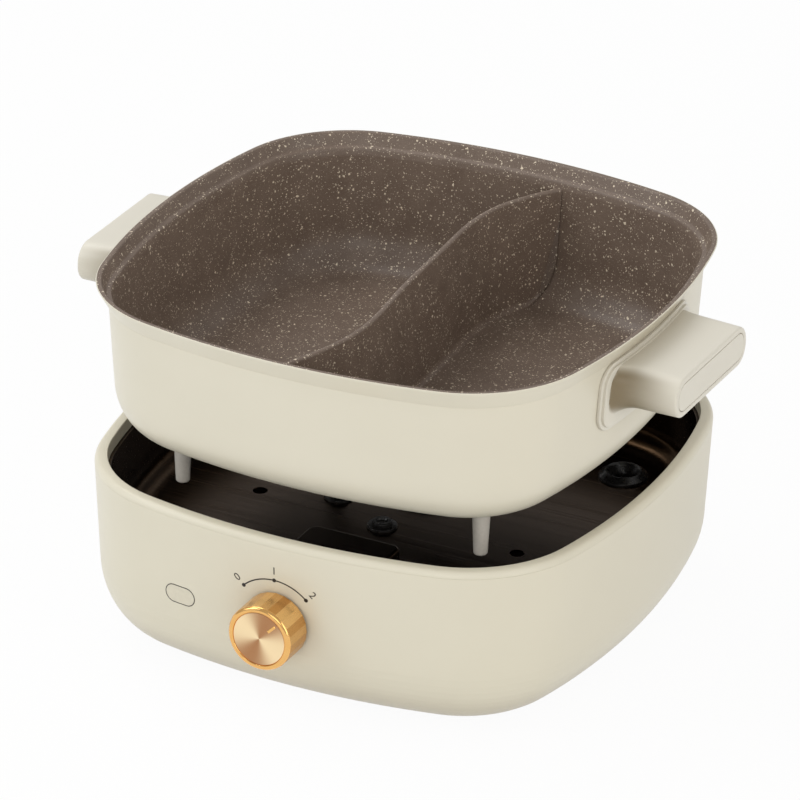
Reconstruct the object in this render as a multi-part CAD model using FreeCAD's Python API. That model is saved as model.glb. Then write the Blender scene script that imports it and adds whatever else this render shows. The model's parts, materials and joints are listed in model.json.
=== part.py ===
import FreeCAD, Part
import os
from math import atan2, cos, degrees, pi, radians, sin, sqrt, tan

from FreeCAD import Vector

# Electric hot pot: a rounded-square divided pot that plugs down into a heating-control base.
# All sizes are in millimetres, +Z is up, the front with the knob faces -Y.
# Every shape is worked out around the upright axis of the base, and write() then moves it so that
# the origin lies at the centre of the whole object's footprint, on the surface it stands on.

# Plan outline shared by pot and base: four shallow side arcs and four corner arcs
RIM_HALF = 160.0
SIDE_R = 431.0
CORNER_R = 75.0

# Pot
POT_DEPTH = 93.5
POT_WALL = 3.0
POT_FLOOR = 3.0
POT_DRAFT = 0.064
POT_CORNER_RISE = 28.5
POT_CORNER_RUN = 24.0
LIP_HEIGHT = 12.4
LIP_FLARE = 3.2
LIP_STEP = 0.6
BODY_INSET = 4.3
COAT_EDGE = 0.2
LEDGE_DEPTH = 8.0
LEDGE_WIDTH = 3.0
UNDERSIDE_RECESS = 8.0
SKIRT_WIDTH = 7.5

# How the pot sits, and how far it is held above its seat
POT_STAND = 57.4
POT_LIFT = 55.0
WELL_GAP = 3.8

# Divider between the two compartments
DIVIDER_TOP = 12.0
DIVIDER_TOP_THICKNESS = 3.6
DIVIDER_FOOT_THICKNESS = 8.0
DIVIDER_BEND = 8.0
DIVIDER_SWING = 26.0

# Locating pegs under the pot
PEG_INSET = 63.0
PEG_LENGTH = 33.0
PEG_ROOT_R = 5.6
PEG_TIP_R = 4.1
PEG_SPIGOT_R = 3.0
PEG_SPIGOT_LENGTH = 5.0
PEG_BOSS_R = 8.5

# Heating element under the pot floor
HEATER_INSET = 76.0
HEATER_TUBE_R = 3.2
HEATER_OPEN_ANGLE = 28.0
HEATER_COVER_T = 1.0

# Coupler between pot and base
COUPLER_Y = 27.0
PLUG_R = 15.0
PLUG_LENGTH = 14.0
COUPLER_R = 22.0
COUPLER_PROUD = 8.0
CONTACT_R = 1.6
CONTACT_CIRCLE_R = 8.0
CONTACT_COUNT = 3
CONTACT_HEIGHT = 5.0

# Handles
HANDLE_PLATE_HALF = 58.5
HANDLE_PLATE_TOP = 13.2
HANDLE_PLATE_HEIGHT = 43.0
HANDLE_PLATE_R = 13.0
HANDLE_FLANGE_T = 1.5
HANDLE_PLATE_T = 3.2
HANDLE_STEP = 2.2
GRIP_OUT = 34.7
GRIP_HALF = 48.4
GRIP_TOP = 15.4
GRIP_HEIGHT = 26.6
GRIP_CORNER_R = 11.6
GRIP_DROP = 2.0
GRIP_BLEND = 17.0
GRIP_EDGE_R = 1.4
EDGE_STEPS = 5
END_INSET = 3.6
END_CAP_T = 1.6
STUD_SPACING = 62.0
STUD_R = 2.6
STUD_LENGTH = 14.0
STUD_SETBACK = 8.0

# Base
BASE_HEIGHT = 109.2
BASE_WALL = 2.6
BASE_FLOOR = 3.4
BASE_DRAFT = 0.05
BASE_CORNER_RISE = 43.0
BASE_CORNER_RUN = 33.9
RIM_WIDTH = 7.6
RIM_DROP = 4.0
RIM_WALL = 8.0
CASING_LEDGE = 2.8
CASING_FLANGE = 12.0
COVER_T = 1.8
COVER_REBATE = 6.0

# Metal pan inside the base
PAN_DEPTH = 50.5
PAN_T = 1.2
PAN_DRAFT = 0.05
PAN_CORNER_R = 12.0
PAN_INSET = 2.2
PLATFORM_HALF = 30.0
PLATFORM_REAR = 62.0
PLATFORM_RISE = 9.0
VENT_HOLE_R = 4.5
VENT_HOLE_INSET = 75.0
VENT_HOLE_Y = -23.0

# Sockets that take the pegs
SOCKET_FLANGE_R = 15.0
SOCKET_PROUD = 4.5
SOCKET_WALL = 2.2
SOCKET_CLEARANCE = 0.7

# Round plugs in the pan floor
BUTTON_R = 9.0
BUTTON_PROUD = 4.0
BUTTON_PLACES = [(0.0, -30.0), (-40.0, -8.0)]

# Feet and cover screws
FOOT_R = 11.0
FOOT_PROUD = 2.4
FOOT_SPIGOT_R = 4.0
FOOT_INSET = 78.0
SCREW_R = 1.8
SCREW_HEAD_R = 3.6
SCREW_LENGTH = 12.0
BOSS_R = 4.2
VENT_SLOT_COUNT = 9
VENT_SLOT_PITCH = 8.0
VENT_SLOT_X = 45.0
VENT_SLOT_HALF = 26.0
VENT_SLOT_R = 1.6

# Control knob and rotary switch
KNOB_R = 20.0
KNOB_LENGTH = 21.5
KNOB_FACETS = 24
KNOB_CHAMFER = 1.6
KNOB_GAP = 1.8
KNOB_SHELL = 3.0
KNOB_WEB = 8.0
KNOB_HUB_R = 6.0
FACE_R = 16.4
FACE_T = 1.0
POINTER_IN = 8.0
POINTER_OUT = 15.0
POINTER_HALF = 1.0
POINTER_DEPTH = 0.5
POINTER_ANGLE = 45.0
SHAFT_R = 3.0
SHAFT_FLAT = 1.0
BUSH_R = 4.8
SWITCH_HALF_WIDTH = 14.0
SWITCH_HALF_HEIGHT = 8.6
SWITCH_LENGTH = 22.0
SWITCH_ROOM = 1.7
NUT_R = 7.5
NUT_T = 2.4

# Power lamp behind its window in the front wall
LAMP_X = -66.4
LAMP_DROP = 1.2
WINDOW_HALF_WIDTH = 10.5
WINDOW_HALF_HEIGHT = 6.0
WINDOW_T = 1.8
LAMP_R = 2.0
LAMP_LENGTH = 9.0
LAMP_HOLDER_DROP = 3.4

# Cord gland in the rear wall and the terminal block
GLAND_DROP = 8.7
GLAND_BORE_R = 3.6
GLAND_R = 6.2
GLAND_FLANGE_R = 9.0
GLAND_FLANGE_T = 2.6
GLAND_LENGTH = 14.0
TERMINAL_SIZE = (44.0, 18.0, 14.0)
TERMINAL_INSET = 68.0
TERMINAL_COUNT = 3

# Clearances
FIT = 0.3
RUNNING = 0.08
SEAT = 0.2

# How far a cutting tool reaches past what it cuts
CUT = 10.0

Z_AXIS = Vector(0, 0, 1)
ORIGIN = Vector(0, 0, 0)


# Heights above the surface the base stands on
CASING_BOTTOM = FOOT_PROUD
BASE_RIM = FOOT_PROUD + BASE_HEIGHT
PARTING = BASE_RIM - RIM_DROP
PAN_FLANGE_TOP = BASE_RIM - RIM_WALL - FIT
PAN_FLOOR = BASE_RIM - PAN_DEPTH
PLATFORM_TOP = PAN_FLOOR + PLATFORM_RISE
POT_RIM = BASE_RIM + POT_STAND + POT_LIFT
POT_BOTTOM = POT_RIM - POT_DEPTH
KNOB_Z = PLATFORM_TOP - PAN_T - SWITCH_ROOM - SWITCH_HALF_HEIGHT
LAMP_Z = KNOB_Z - LAMP_DROP
GLAND_Z = PAN_FLOOR - GLAND_DROP

# Places that follow the size of the outline
PEG_OFFSET = RIM_HALF - PEG_INSET
FOOT_OFFSET = RIM_HALF - FOOT_INSET
HEATER_RING_R = RIM_HALF - HEATER_INSET
VENT_HOLE_X = RIM_HALF - VENT_HOLE_INSET
TERMINAL_Y = RIM_HALF - TERMINAL_INSET
GRIP_REACH = RIM_HALF + GRIP_OUT

# Centres of the side and corner arcs
SIDE_SHIFT = SIDE_R - RIM_HALF
CORNER_C = (sqrt(2 * (SIDE_R - CORNER_R) ** 2 - SIDE_SHIFT ** 2) - SIDE_SHIFT) / 2
SIDE_ANGLE = degrees(atan2(CORNER_C, CORNER_C + SIDE_SHIFT))


def pot_wall_at(z):
    """Offset of the pot's outer wall from the rim outline, at a height below its lip."""
    return -BODY_INSET - POT_DRAFT * (POT_RIM - LIP_HEIGHT - z)


def seated_wall_at(z):
    """The same wall once the pot is down in its seat."""
    return pot_wall_at(z + POT_LIFT)


# The well of the base follows the seated pot
WELL_OFFSET = seated_wall_at(BASE_RIM) + WELL_GAP
CASING_OFFSET = WELL_OFFSET + RIM_WIDTH


def casing_wall_at(z):
    """Offset of the base casing's outer wall from the rim outline."""
    return CASING_OFFSET - BASE_DRAFT * (PARTING - z)


def pan_wall_at(z):
    """Offset of the pan's inner wall from the rim outline."""
    return WELL_OFFSET - PAN_INSET - PAN_DRAFT * (PAN_FLANGE_TOP - z)


def side_reach(offset, across=0.0):
    """Distance from the upright axis to a side of the outline, at a place across that side."""
    return sqrt((SIDE_R + offset) ** 2 - across ** 2) - SIDE_SHIFT


KNOB_BACK = side_reach(casing_wall_at(KNOB_Z)) + KNOB_GAP
KNOB_FRONT = KNOB_BACK + KNOB_LENGTH


def outline_arcs():
    """Centre, radius, start angle and sweep of each arc of the plan outline, in degrees."""
    arcs = []
    for quarter in range(4):
        turn = 90.0 * quarter
        c, s = cos(radians(turn)), sin(radians(turn))
        side = (-SIDE_SHIFT * c, -SIDE_SHIFT * s, SIDE_R, turn - SIDE_ANGLE, 2 * SIDE_ANGLE)
        corner_x, corner_y = CORNER_C * (c - s), CORNER_C * (s + c)
        corner = (corner_x, corner_y, CORNER_R, turn + SIDE_ANGLE, 90.0 - 2 * SIDE_ANGLE)
        arcs += [side, corner]
    return arcs


def outline_wire(offset, z):
    """The plan outline moved outwards by an offset."""
    edges = []
    for x, y, radius, start, sweep in outline_arcs():
        circle = Part.Circle(Vector(x, y, z), Z_AXIS, radius + offset)
        edges.append(Part.ArcOfCircle(circle, radians(start), radians(start + sweep)).toShape())
    return Part.Wire(edges)


def outline_slab(offset, low, high):
    """A flat plate with the plan outline."""
    return Part.Face(outline_wire(offset, low)).extrude(Vector(0, 0, high - low))


def rounded_profile(points):
    """Closed face in the XZ plane. A point is (x, z), (x, z, setback) or (x, z, before, after)."""
    count = len(points)
    corners = [Vector(p[0], 0, p[1]) for p in points]
    starts, ends, curves = [], [], []
    for i, point in enumerate(points):
        before = point[2] if len(point) > 2 else 0.0
        after = point[3] if len(point) > 3 else before
        here = corners[i]
        back = (corners[i - 1] - here).normalize()
        ahead = (corners[(i + 1) % count] - here).normalize()
        start, end = here + back * before, here + ahead * after
        starts.append(start)
        ends.append(end)
        if before:
            turn = pi - back.getAngle(ahead)
            pull = 4.0 / 3.0 * tan(turn / 4) / tan(turn / 2)
            curve = Part.BezierCurve()
            curve.setPoles([start, start + (here - start) * pull, end + (here - end) * pull, end])
            curves.append(curve.toShape())
        else:
            curves.append(None)
    edges = []
    for i in range(count):
        if curves[i]:
            edges.append(curves[i])
        following = starts[(i + 1) % count]
        if ends[i].distanceToPoint(following) > 1e-6:
            edges.append(Part.makeLine(ends[i], following))
    return Part.Face(Part.Wire(edges))


def sector(face, x, y, radius, start, sweep):
    """Turn a profile, drawn against the outline's edge, about one arc's centre."""
    piece = face.copy()
    piece.translate(Vector(radius, 0, 0))
    piece.rotate(ORIGIN, Z_AXIS, start)
    piece.translate(Vector(x, y, 0))
    return piece.revolve(Vector(x, y, 0), Z_AXIS, sweep)


def outline_ring(points):
    """A band all round the plan outline. Profile points are (offset from outline, height)."""
    face = rounded_profile(points)
    sectors = [sector(face, *arc) for arc in outline_arcs()]
    return sectors[0].multiFuse(sectors[1:]).removeSplitter()


def side_band(wall_at, inner, outer, low, high, facing, half_angle=SIDE_ANGLE * 0.9):
    """A curved plate that follows one side's wall. facing is the side's direction in degrees."""
    corners = [(wall_at(low) + inner, low), (wall_at(low) + outer, low)]
    corners += [(wall_at(high) + outer, high), (wall_at(high) + inner, high)]
    band = sector(rounded_profile(corners), -SIDE_SHIFT, 0, SIDE_R, -half_angle, 2 * half_angle)
    band.rotate(ORIGIN, Z_AXIS, facing)
    return band


def rounded_rectangle(half_u, half_v, radius, place):
    """Wire of a rounded rectangle about (0, 0); place turns (u, v) into a point."""
    edges = []
    inner_u, inner_v = half_u - radius, half_v - radius
    centres = [(inner_u, inner_v), (-inner_u, inner_v), (-inner_u, -inner_v), (inner_u, -inner_v)]
    spots = []
    for index, (u, v) in enumerate(centres):
        for step in range(3):
            angle = radians(90 * index + 45 * step)
            spots.append(place(u + radius * cos(angle), v + radius * sin(angle)))
    for index in range(4):
        first, middle, last = spots[3 * index:3 * index + 3]
        edges.append(Part.Arc(first, middle, last).toShape())
        following = spots[(3 * index + 3) % 12]
        if last.distanceToPoint(following) > 1e-6:
            edges.append(Part.makeLine(last, following))
    return Part.Wire(edges)


def plate_x(half_y, mid_z, half_z, radius, x_from, x_to):
    """A rounded plate seen along X."""
    wire = rounded_rectangle(half_y, half_z, radius, lambda u, v: Vector(x_from, u, mid_z + v))
    return Part.Face(wire).extrude(Vector(x_to - x_from, 0, 0))


def plate_z(mid_x, mid_y, half_x, half_y, radius, low, high):
    """A rounded plate seen from above."""
    wire = rounded_rectangle(half_x, half_y, radius, lambda u, v: Vector(mid_x + u, mid_y + v, low))
    return Part.Face(wire).extrude(Vector(0, 0, high - low))


def turned(points, x=0.0, y=0.0):
    """A round solid from a profile of (radius, height) points, standing at x, y."""
    solid = rounded_profile(points).revolve(ORIGIN, Z_AXIS, 360)
    solid.translate(Vector(x, y, 0))
    return solid


def rod(radius, low, high, x=0.0, y=0.0):
    """A plain cylinder standing at x, y."""
    return Part.makeCylinder(radius, high - low, Vector(x, y, low))


def facing_front(shape, z):
    """Lay a shape that was drawn along +Z so that it points to -Y, at a height."""
    laid = shape.copy()
    laid.rotate(ORIGIN, Vector(1, 0, 0), 90)
    laid.translate(Vector(0, 0, z))
    return laid


def facing_rear(shape, z):
    """Lay a shape that was drawn along +Z so that it points to +Y, at a height."""
    laid = shape.copy()
    laid.rotate(ORIGIN, Vector(1, 0, 0), -90)
    laid.translate(Vector(0, 0, z))
    return laid


def corner_places(offset):
    """Front left, front right, rear left and rear right places at equal offsets."""
    return {
        "front_left": (-offset, -offset),
        "front_right": (offset, -offset),
        "rear_left": (-offset, offset),
        "rear_right": (offset, offset),
    }


def pot_core_offset():
    """Offset at which the pot's curved corner has turned into its flat bottom."""
    return pot_wall_at(POT_BOTTOM) - POT_CORNER_RUN - 1.0


def pot_floor_top():
    return POT_BOTTOM + UNDERSIDE_RECESS + POT_FLOOR


def pot_body():
    """Cast pot: flared lip, lid ledge, drafted wall, round bottom corner and recessed underside."""
    wall_top = POT_RIM - LIP_HEIGHT
    lip_outer = pot_wall_at(wall_top) + LIP_STEP
    core = pot_core_offset()
    skirt_inner = core - SKIRT_WIDTH
    recess_top = POT_BOTTOM + UNDERSIDE_RECESS
    floor_top = pot_floor_top()
    inner_bottom = pot_wall_at(floor_top) - POT_WALL
    ledge_top = POT_RIM - LEDGE_DEPTH
    ledge_inner = -COAT_EDGE - LIP_FLARE - LEDGE_WIDTH
    ring = outline_ring([
        (LIP_FLARE, POT_RIM, 0.7),
        (lip_outer, wall_top + 0.3, 0.25),
        (pot_wall_at(wall_top), wall_top),
        (pot_wall_at(POT_BOTTOM), POT_BOTTOM, POT_CORNER_RISE, POT_CORNER_RUN),
        (skirt_inner, POT_BOTTOM),
        (skirt_inner, recess_top),
        (skirt_inner - 2.0, recess_top),
        (skirt_inner - 2.0, floor_top),
        (inner_bottom, floor_top, POT_CORNER_RUN - POT_WALL, POT_CORNER_RISE - POT_WALL),
        (pot_wall_at(wall_top) - POT_WALL, wall_top, 0.8),
        (ledge_inner, ledge_top - 1.0, 0.6),
        (ledge_inner + 0.6, ledge_top, 0.4),
        (-COAT_EDGE - LIP_FLARE, ledge_top + 0.6, 0.4),
        (-COAT_EDGE, POT_RIM, 0.6),
    ])
    floor = outline_slab(skirt_inner - 2.0, recess_top, floor_top)
    body = ring.fuse(floor)
    for x, y in corner_places(PEG_OFFSET).values():
        boss = rod(PEG_BOSS_R, POT_BOTTOM, recess_top + 0.5, x, y)
        hole = rod(PEG_SPIGOT_R + RUNNING, POT_BOTTOM - 1, POT_BOTTOM + PEG_SPIGOT_LENGTH + FIT, x, y)
        body = body.fuse(boss).cut(hole)
    return body.removeSplitter()


def divider_curve(z):
    """S-shaped plan line of the divider, from the front wall to the rear wall."""
    front = side_reach(pot_wall_at(z)) + 6.0
    rear = front
    points = [
        Vector(-DIVIDER_BEND * 2.4, -front, z),
        Vector(DIVIDER_BEND * 0.95, -0.52 * RIM_HALF, z),
        Vector(DIVIDER_BEND * 0.5, -0.12 * RIM_HALF, z),
        Vector(0, 0.3 * RIM_HALF, z),
        Vector(DIVIDER_BEND * 0.5, 0.73 * RIM_HALF, z),
        Vector(DIVIDER_SWING + 3.0, rear, z),
    ]
    curve = Part.BSplineCurve()
    curve.interpolate(points)
    return curve


def divider():
    """Upright wall between the compartments, thicker at its foot, set against wall and floor."""
    top = POT_RIM - DIVIDER_TOP
    low = pot_floor_top()
    wires = []
    for z, thickness in ((low, DIVIDER_FOOT_THICKNESS), (top, DIVIDER_TOP_THICKNESS)):
        curve = divider_curve(z)
        left, right = [], []
        samples = 12
        first, last = curve.FirstParameter, curve.LastParameter
        for step in range(samples + 1):
            at = first + (last - first) * step / samples
            point = curve.value(at)
            along = curve.tangent(at)[0]
            across = Vector(-along.y, along.x, 0) * (thickness / 2)
            left.append(point + across)
            right.append(point - across)
        sides = []
        for points in (left, right):
            side = Part.BSplineCurve()
            side.interpolate(points)
            sides.append(side)
        edges = [sides[0].toShape(), Part.makeLine(left[-1], right[-1])]
        edges += [sides[1].toShape(), Part.makeLine(right[0], left[0])]
        wires.append(Part.Wire(Part.__sortEdges__(edges)))
    wall = Part.makeLoft(wires, True, True)
    inside = outline_ring_inside(low, top)
    return wall.common(inside)


def outline_ring_inside(low, high):
    """The hollow of the pot from its floor to a height, short of the wall by a seat gap."""
    wall_top = POT_RIM - LIP_HEIGHT
    inset = POT_WALL + SEAT
    edge = pot_wall_at(low) - inset
    core = edge - POT_CORNER_RUN - 2.0
    top_offset = pot_wall_at(min(high, wall_top)) - inset
    ring = outline_ring([
        (edge, low, POT_CORNER_RUN - POT_WALL, POT_CORNER_RISE - POT_WALL),
        (top_offset, min(high, wall_top)),
        (top_offset, high),
        (core, high),
        (core, low),
    ])
    return ring.fuse(outline_slab(core, low, high))


def heater_ring():
    """Horseshoe heating tube under the pot floor, its ends bent down to the cold pins."""
    z = POT_BOTTOM + UNDERSIDE_RECESS - HEATER_TUBE_R - SEAT
    start = radians(90 + HEATER_OPEN_ANGLE)
    end = radians(450 - HEATER_OPEN_ANGLE)
    middle = (start + end) / 2
    spots = [Vector(HEATER_RING_R * cos(a), HEATER_RING_R * sin(a), z) for a in (start, middle, end)]
    path = Part.Wire(Part.Arc(*spots).toShape())
    tangent = Vector(-sin(start), cos(start), 0)
    section = Part.Wire(Part.Circle(spots[0], tangent, HEATER_TUBE_R).toShape())
    tube = path.makePipeShell([section], True, False)
    pins = []
    for spot, angle, way in ((spots[0], start, -1), (spots[2], end, 1)):
        along = Vector(-sin(angle), cos(angle), 0) * way
        pins.append(Part.makeCylinder(HEATER_TUBE_R * 0.45, 8.0, spot, along))
    return tube.fuse(pins)


def heater_cover():
    """Thin plate that closes the recess under the pot, with holes for bosses and plug."""
    offset = pot_core_offset() - SKIRT_WIDTH - FIT
    cover = outline_slab(offset, POT_BOTTOM, POT_BOTTOM + HEATER_COVER_T)
    for x, y in corner_places(PEG_OFFSET).values():
        cover = cover.cut(rod(PEG_BOSS_R + FIT, POT_BOTTOM - 1, POT_BOTTOM + 3, x, y))
    return cover.cut(rod(PLUG_R - 2.0, POT_BOTTOM - 1, POT_BOTTOM + 3, 0, COUPLER_Y))


def pot_plug():
    """Round plug under the pot, with a flange on the cover and a hole for each contact pin."""
    low = POT_BOTTOM - PLUG_LENGTH
    plug = turned([
        (0, low),
        (PLUG_R, low, 1.5),
        (PLUG_R, POT_BOTTOM),
        (PLUG_R - 2.0 - FIT, POT_BOTTOM),
        (PLUG_R - 2.0 - FIT, POT_BOTTOM + 3.5),
        (0, POT_BOTTOM + 3.5),
    ], 0, COUPLER_Y)
    for x, y in contact_places():
        plug = plug.cut(rod(CONTACT_R + 0.9, low - 1, low + CONTACT_HEIGHT + 4.0, x, y))
    return plug


def contact_places():
    places = []
    for index in range(CONTACT_COUNT):
        angle = radians(90 + 360.0 * index / CONTACT_COUNT)
        places.append((CONTACT_CIRCLE_R * cos(angle), COUPLER_Y + CONTACT_CIRCLE_R * sin(angle)))
    return places


def peg(x, y):
    """Tapered locating peg with a round tip and a spigot into its boss."""
    low = POT_BOTTOM - PEG_LENGTH
    return turned([
        (0, low),
        (PEG_TIP_R, low, 1.6),
        (PEG_ROOT_R, POT_BOTTOM),
        (PEG_SPIGOT_R, POT_BOTTOM),
        (PEG_SPIGOT_R, POT_BOTTOM + PEG_SPIGOT_LENGTH),
        (0, POT_BOTTOM + PEG_SPIGOT_LENGTH),
    ], x, y)


def stud_places():
    return [-STUD_SPACING / 2, STUD_SPACING / 2]


def stud_height():
    return POT_RIM - GRIP_TOP - GRIP_HEIGHT / 2


def handle_plate():
    """Stepped bracket plate that follows the pot's wall."""
    top = POT_RIM - HANDLE_PLATE_TOP
    mid = top - HANDLE_PLATE_HEIGHT / 2
    low = top - HANDLE_PLATE_HEIGHT
    half = HANDLE_PLATE_HEIGHT / 2
    near, far = side_reach(pot_wall_at(low)) - GRIP_BLEND, side_reach(0) + GRIP_BLEND
    flange = side_band(pot_wall_at, SEAT, SEAT + HANDLE_FLANGE_T, low - 2, top + 2, 0)
    flange = flange.common(plate_x(HANDLE_PLATE_HALF, mid, half, HANDLE_PLATE_R, near, far))
    step = side_band(pot_wall_at, SEAT, SEAT + HANDLE_PLATE_T, low - 2, top + 2, 0)
    inner = plate_x(HANDLE_PLATE_HALF - HANDLE_STEP, mid, half - HANDLE_STEP, HANDLE_PLATE_R - 2.0, near, far)
    plate = flange.fuse(step.common(inner))
    for y in stud_places():
        hole = Part.makeCylinder(STUD_R + FIT, far - near, Vector(near, y, stud_height()), Vector(1, 0, 0))
        plate = plate.cut(hole)
    return plate.removeSplitter()


def grip_section(x, blend, inset=0.0):
    """Outline of the grip at a reach x. blend runs from 1 at the plate to 0 where it is slim."""
    plate_half = HANDLE_PLATE_HALF - HANDLE_STEP - 1.2
    plate_top = POT_RIM - HANDLE_PLATE_TOP - HANDLE_STEP - 1.0
    plate_low = POT_RIM - HANDLE_PLATE_TOP - HANDLE_PLATE_HEIGHT + HANDLE_STEP + 1.2
    start = side_reach(pot_wall_at(plate_low))
    drop = GRIP_DROP * max(0.0, (x - start)) / (GRIP_REACH - start)
    slim_top = POT_RIM - GRIP_TOP - drop
    slim_low = POT_RIM - GRIP_TOP - GRIP_HEIGHT
    top = slim_top + (plate_top - slim_top) * min(1.0, blend)
    low = slim_low + (plate_low - slim_low) * blend
    half = GRIP_HALF + (plate_half - GRIP_HALF) * blend - inset
    mid, half_z = (top + low) / 2, (top - low) / 2 - inset
    radius = min(GRIP_CORNER_R - inset, half_z - 0.2)
    return rounded_rectangle(half, half_z, radius, lambda u, v: Vector(x, u, mid + v))


def grip_blend_at(x, start):
    """Share of the hollow blend left at a reach: a quarter of an ellipse."""
    along = min(1.0, max(0.0, (x - start) / GRIP_BLEND))
    return 1.0 - sqrt(1.0 - (1.0 - along) ** 2)


def handle_grip():
    """Moulded grip: a broad root that sweeps into a slim flat bar with a panelled end."""
    top = POT_RIM - HANDLE_PLATE_TOP
    low = top - HANDLE_PLATE_HEIGHT
    face = SEAT + HANDLE_PLATE_T + RUNNING
    start = side_reach(pot_wall_at(low) + face, HANDLE_PLATE_HALF)
    end = GRIP_REACH - GRIP_EDGE_R
    steps = [0.02, 0.1, 0.24, 0.42, 0.65, 1.0]
    sections = [grip_section(start - 2.0, 1.0)]
    for step in steps:
        x = start + GRIP_BLEND * step
        sections.append(grip_section(x, grip_blend_at(x, start)))
    sections.append(grip_section((start + GRIP_BLEND + end) / 2, 0.0))
    sections.append(grip_section(end, 0.0))
    grip = Part.makeLoft(sections, True, False)
    behind = side_band(pot_wall_at, -GRIP_OUT, face, low - CUT, top + CUT, 0)
    grip = grip.cut(behind)
    rounding = []
    for step in range(EDGE_STEPS + 1):
        angle = pi / 2 * step / EDGE_STEPS
        x, inset = end + GRIP_EDGE_R * sin(angle), GRIP_EDGE_R * (1 - cos(angle))
        rounding.append(grip_section(x, 0.0, inset))
    grip = grip.fuse(Part.makeLoft(rounding, True, True))
    grip = grip.cut(end_panel(0.0, END_CAP_T))
    for y in stud_places():
        hole = Part.makeCylinder(STUD_R + RUNNING, STUD_LENGTH + FIT, Vector(start - STUD_SETBACK, y, stud_height()), Vector(1, 0, 0))
        grip = grip.cut(hole)
    return grip


def end_panel(gap, depth):
    """Rounded panel let into the end of a grip."""
    top = POT_RIM - GRIP_TOP - GRIP_DROP
    low = POT_RIM - GRIP_TOP - GRIP_HEIGHT
    mid, half = (top + low) / 2, (top - low) / 2 - END_INSET - gap
    x = GRIP_REACH - depth
    return plate_x(GRIP_HALF - END_INSET - gap, mid, half, half - 0.6, x, GRIP_REACH)


def handle_end_cap():
    """Inset panel at the end of a grip, with a fine gap round it."""
    cap = end_panel(FIT, END_CAP_T)
    edges = [e for e in cap.Edges if e.BoundBox.XMin > GRIP_REACH - 0.01]
    return cap.makeFillet(0.35, edges)


def handle_studs():
    """Two studs on the pot's wall that carry one handle."""
    low = POT_RIM - HANDLE_PLATE_TOP - HANDLE_PLATE_HEIGHT
    start = side_reach(pot_wall_at(low) + SEAT + HANDLE_PLATE_T, HANDLE_PLATE_HALF)
    studs = []
    for y in stud_places():
        reach = side_reach(pot_wall_at(stud_height()), y)
        end = start - STUD_SETBACK + STUD_LENGTH
        stud = Part.makeCylinder(STUD_R, end - reach - SEAT, Vector(reach + SEAT, y, stud_height()), Vector(1, 0, 0))
        studs.append(stud)
    return Part.makeCompound(studs)


def other_side(shape):
    """The same piece on the opposite side."""
    turned_round = shape.copy()
    turned_round.rotate(ORIGIN, Z_AXIS, 180)
    return turned_round


def base_casing():
    """Moulded outer shell of the base, open above, with a flange round the bottom opening."""
    ledge_z = PAN_FLANGE_TOP - PAN_T
    inner = casing_wall_at(PARTING) - BASE_WALL
    bottom = casing_wall_at(CASING_BOTTOM)
    floor_top = CASING_BOTTOM + BASE_FLOOR
    run_end = bottom - BASE_CORNER_RUN
    rebate_edge = run_end - CASING_FLANGE + COVER_REBATE
    flange_edge = run_end - CASING_FLANGE
    ledge_foot = ledge_z - 4.0
    casing = outline_ring([
        (casing_wall_at(PARTING), PARTING),
        (bottom, CASING_BOTTOM, BASE_CORNER_RISE, BASE_CORNER_RUN),
        (rebate_edge, CASING_BOTTOM),
        (rebate_edge, CASING_BOTTOM + COVER_T),
        (flange_edge, CASING_BOTTOM + COVER_T),
        (flange_edge, floor_top),
        (bottom - BASE_WALL, floor_top, BASE_CORNER_RUN - BASE_WALL, BASE_CORNER_RISE - BASE_WALL),
        (casing_wall_at(ledge_foot - CASING_LEDGE) - BASE_WALL, ledge_foot - CASING_LEDGE),
        (inner - CASING_LEDGE, ledge_foot),
        (inner - CASING_LEDGE, ledge_z),
        (inner, ledge_z),
        (inner, PARTING),
    ])
    for x, y in screw_places():
        boss = rod(BOSS_R, CASING_BOTTOM + COVER_T, CASING_BOTTOM + SCREW_LENGTH + 4.0, x, y)
        hole = rod(SCREW_R + RUNNING, CASING_BOTTOM, CASING_BOTTOM + SCREW_LENGTH + FIT, x, y)
        casing = casing.fuse(boss).cut(hole)
    reach = side_reach(casing_wall_at(KNOB_Z))
    knob_hole = Part.makeCylinder(BUSH_R + FIT, 2 * CUT, Vector(0, CUT - reach, KNOB_Z), Vector(0, -1, 0))
    gland_hole = Part.makeCylinder(GLAND_R + FIT, 2 * CUT, Vector(0, reach - CUT, GLAND_Z), Vector(0, 1, 0))
    return casing.cut(knob_hole).cut(gland_hole).cut(window_tool(0.0)).removeSplitter()


def window_tool(gap):
    """Upright oval that cuts or makes the lamp window."""
    radius = WINDOW_HALF_HEIGHT - gap
    wire = rounded_rectangle(
        WINDOW_HALF_WIDTH - gap, radius, radius - 0.05, lambda u, v: Vector(LAMP_X + u, -RIM_HALF - CUT, LAMP_Z + v)
    )
    return Part.Face(wire).extrude(Vector(0, 3 * CUT, 0))


def rim_ring():
    """Trim ring with a sloping rounded top; it holds the pan's flange down on the casing."""
    low = PAN_FLANGE_TOP
    skirt_outer = casing_wall_at(PARTING) - BASE_WALL - FIT
    return outline_ring([
        (CASING_OFFSET, PARTING),
        (CASING_OFFSET - 0.2, PARTING + 1.0, 0.6),
        (CASING_OFFSET - 1.6, BASE_RIM - 0.3, 1.6),
        (WELL_OFFSET, BASE_RIM, 0.6),
        (WELL_OFFSET - 0.4, low, 0.5),
        (skirt_outer, low),
        (skirt_outer, PARTING),
    ])


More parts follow.
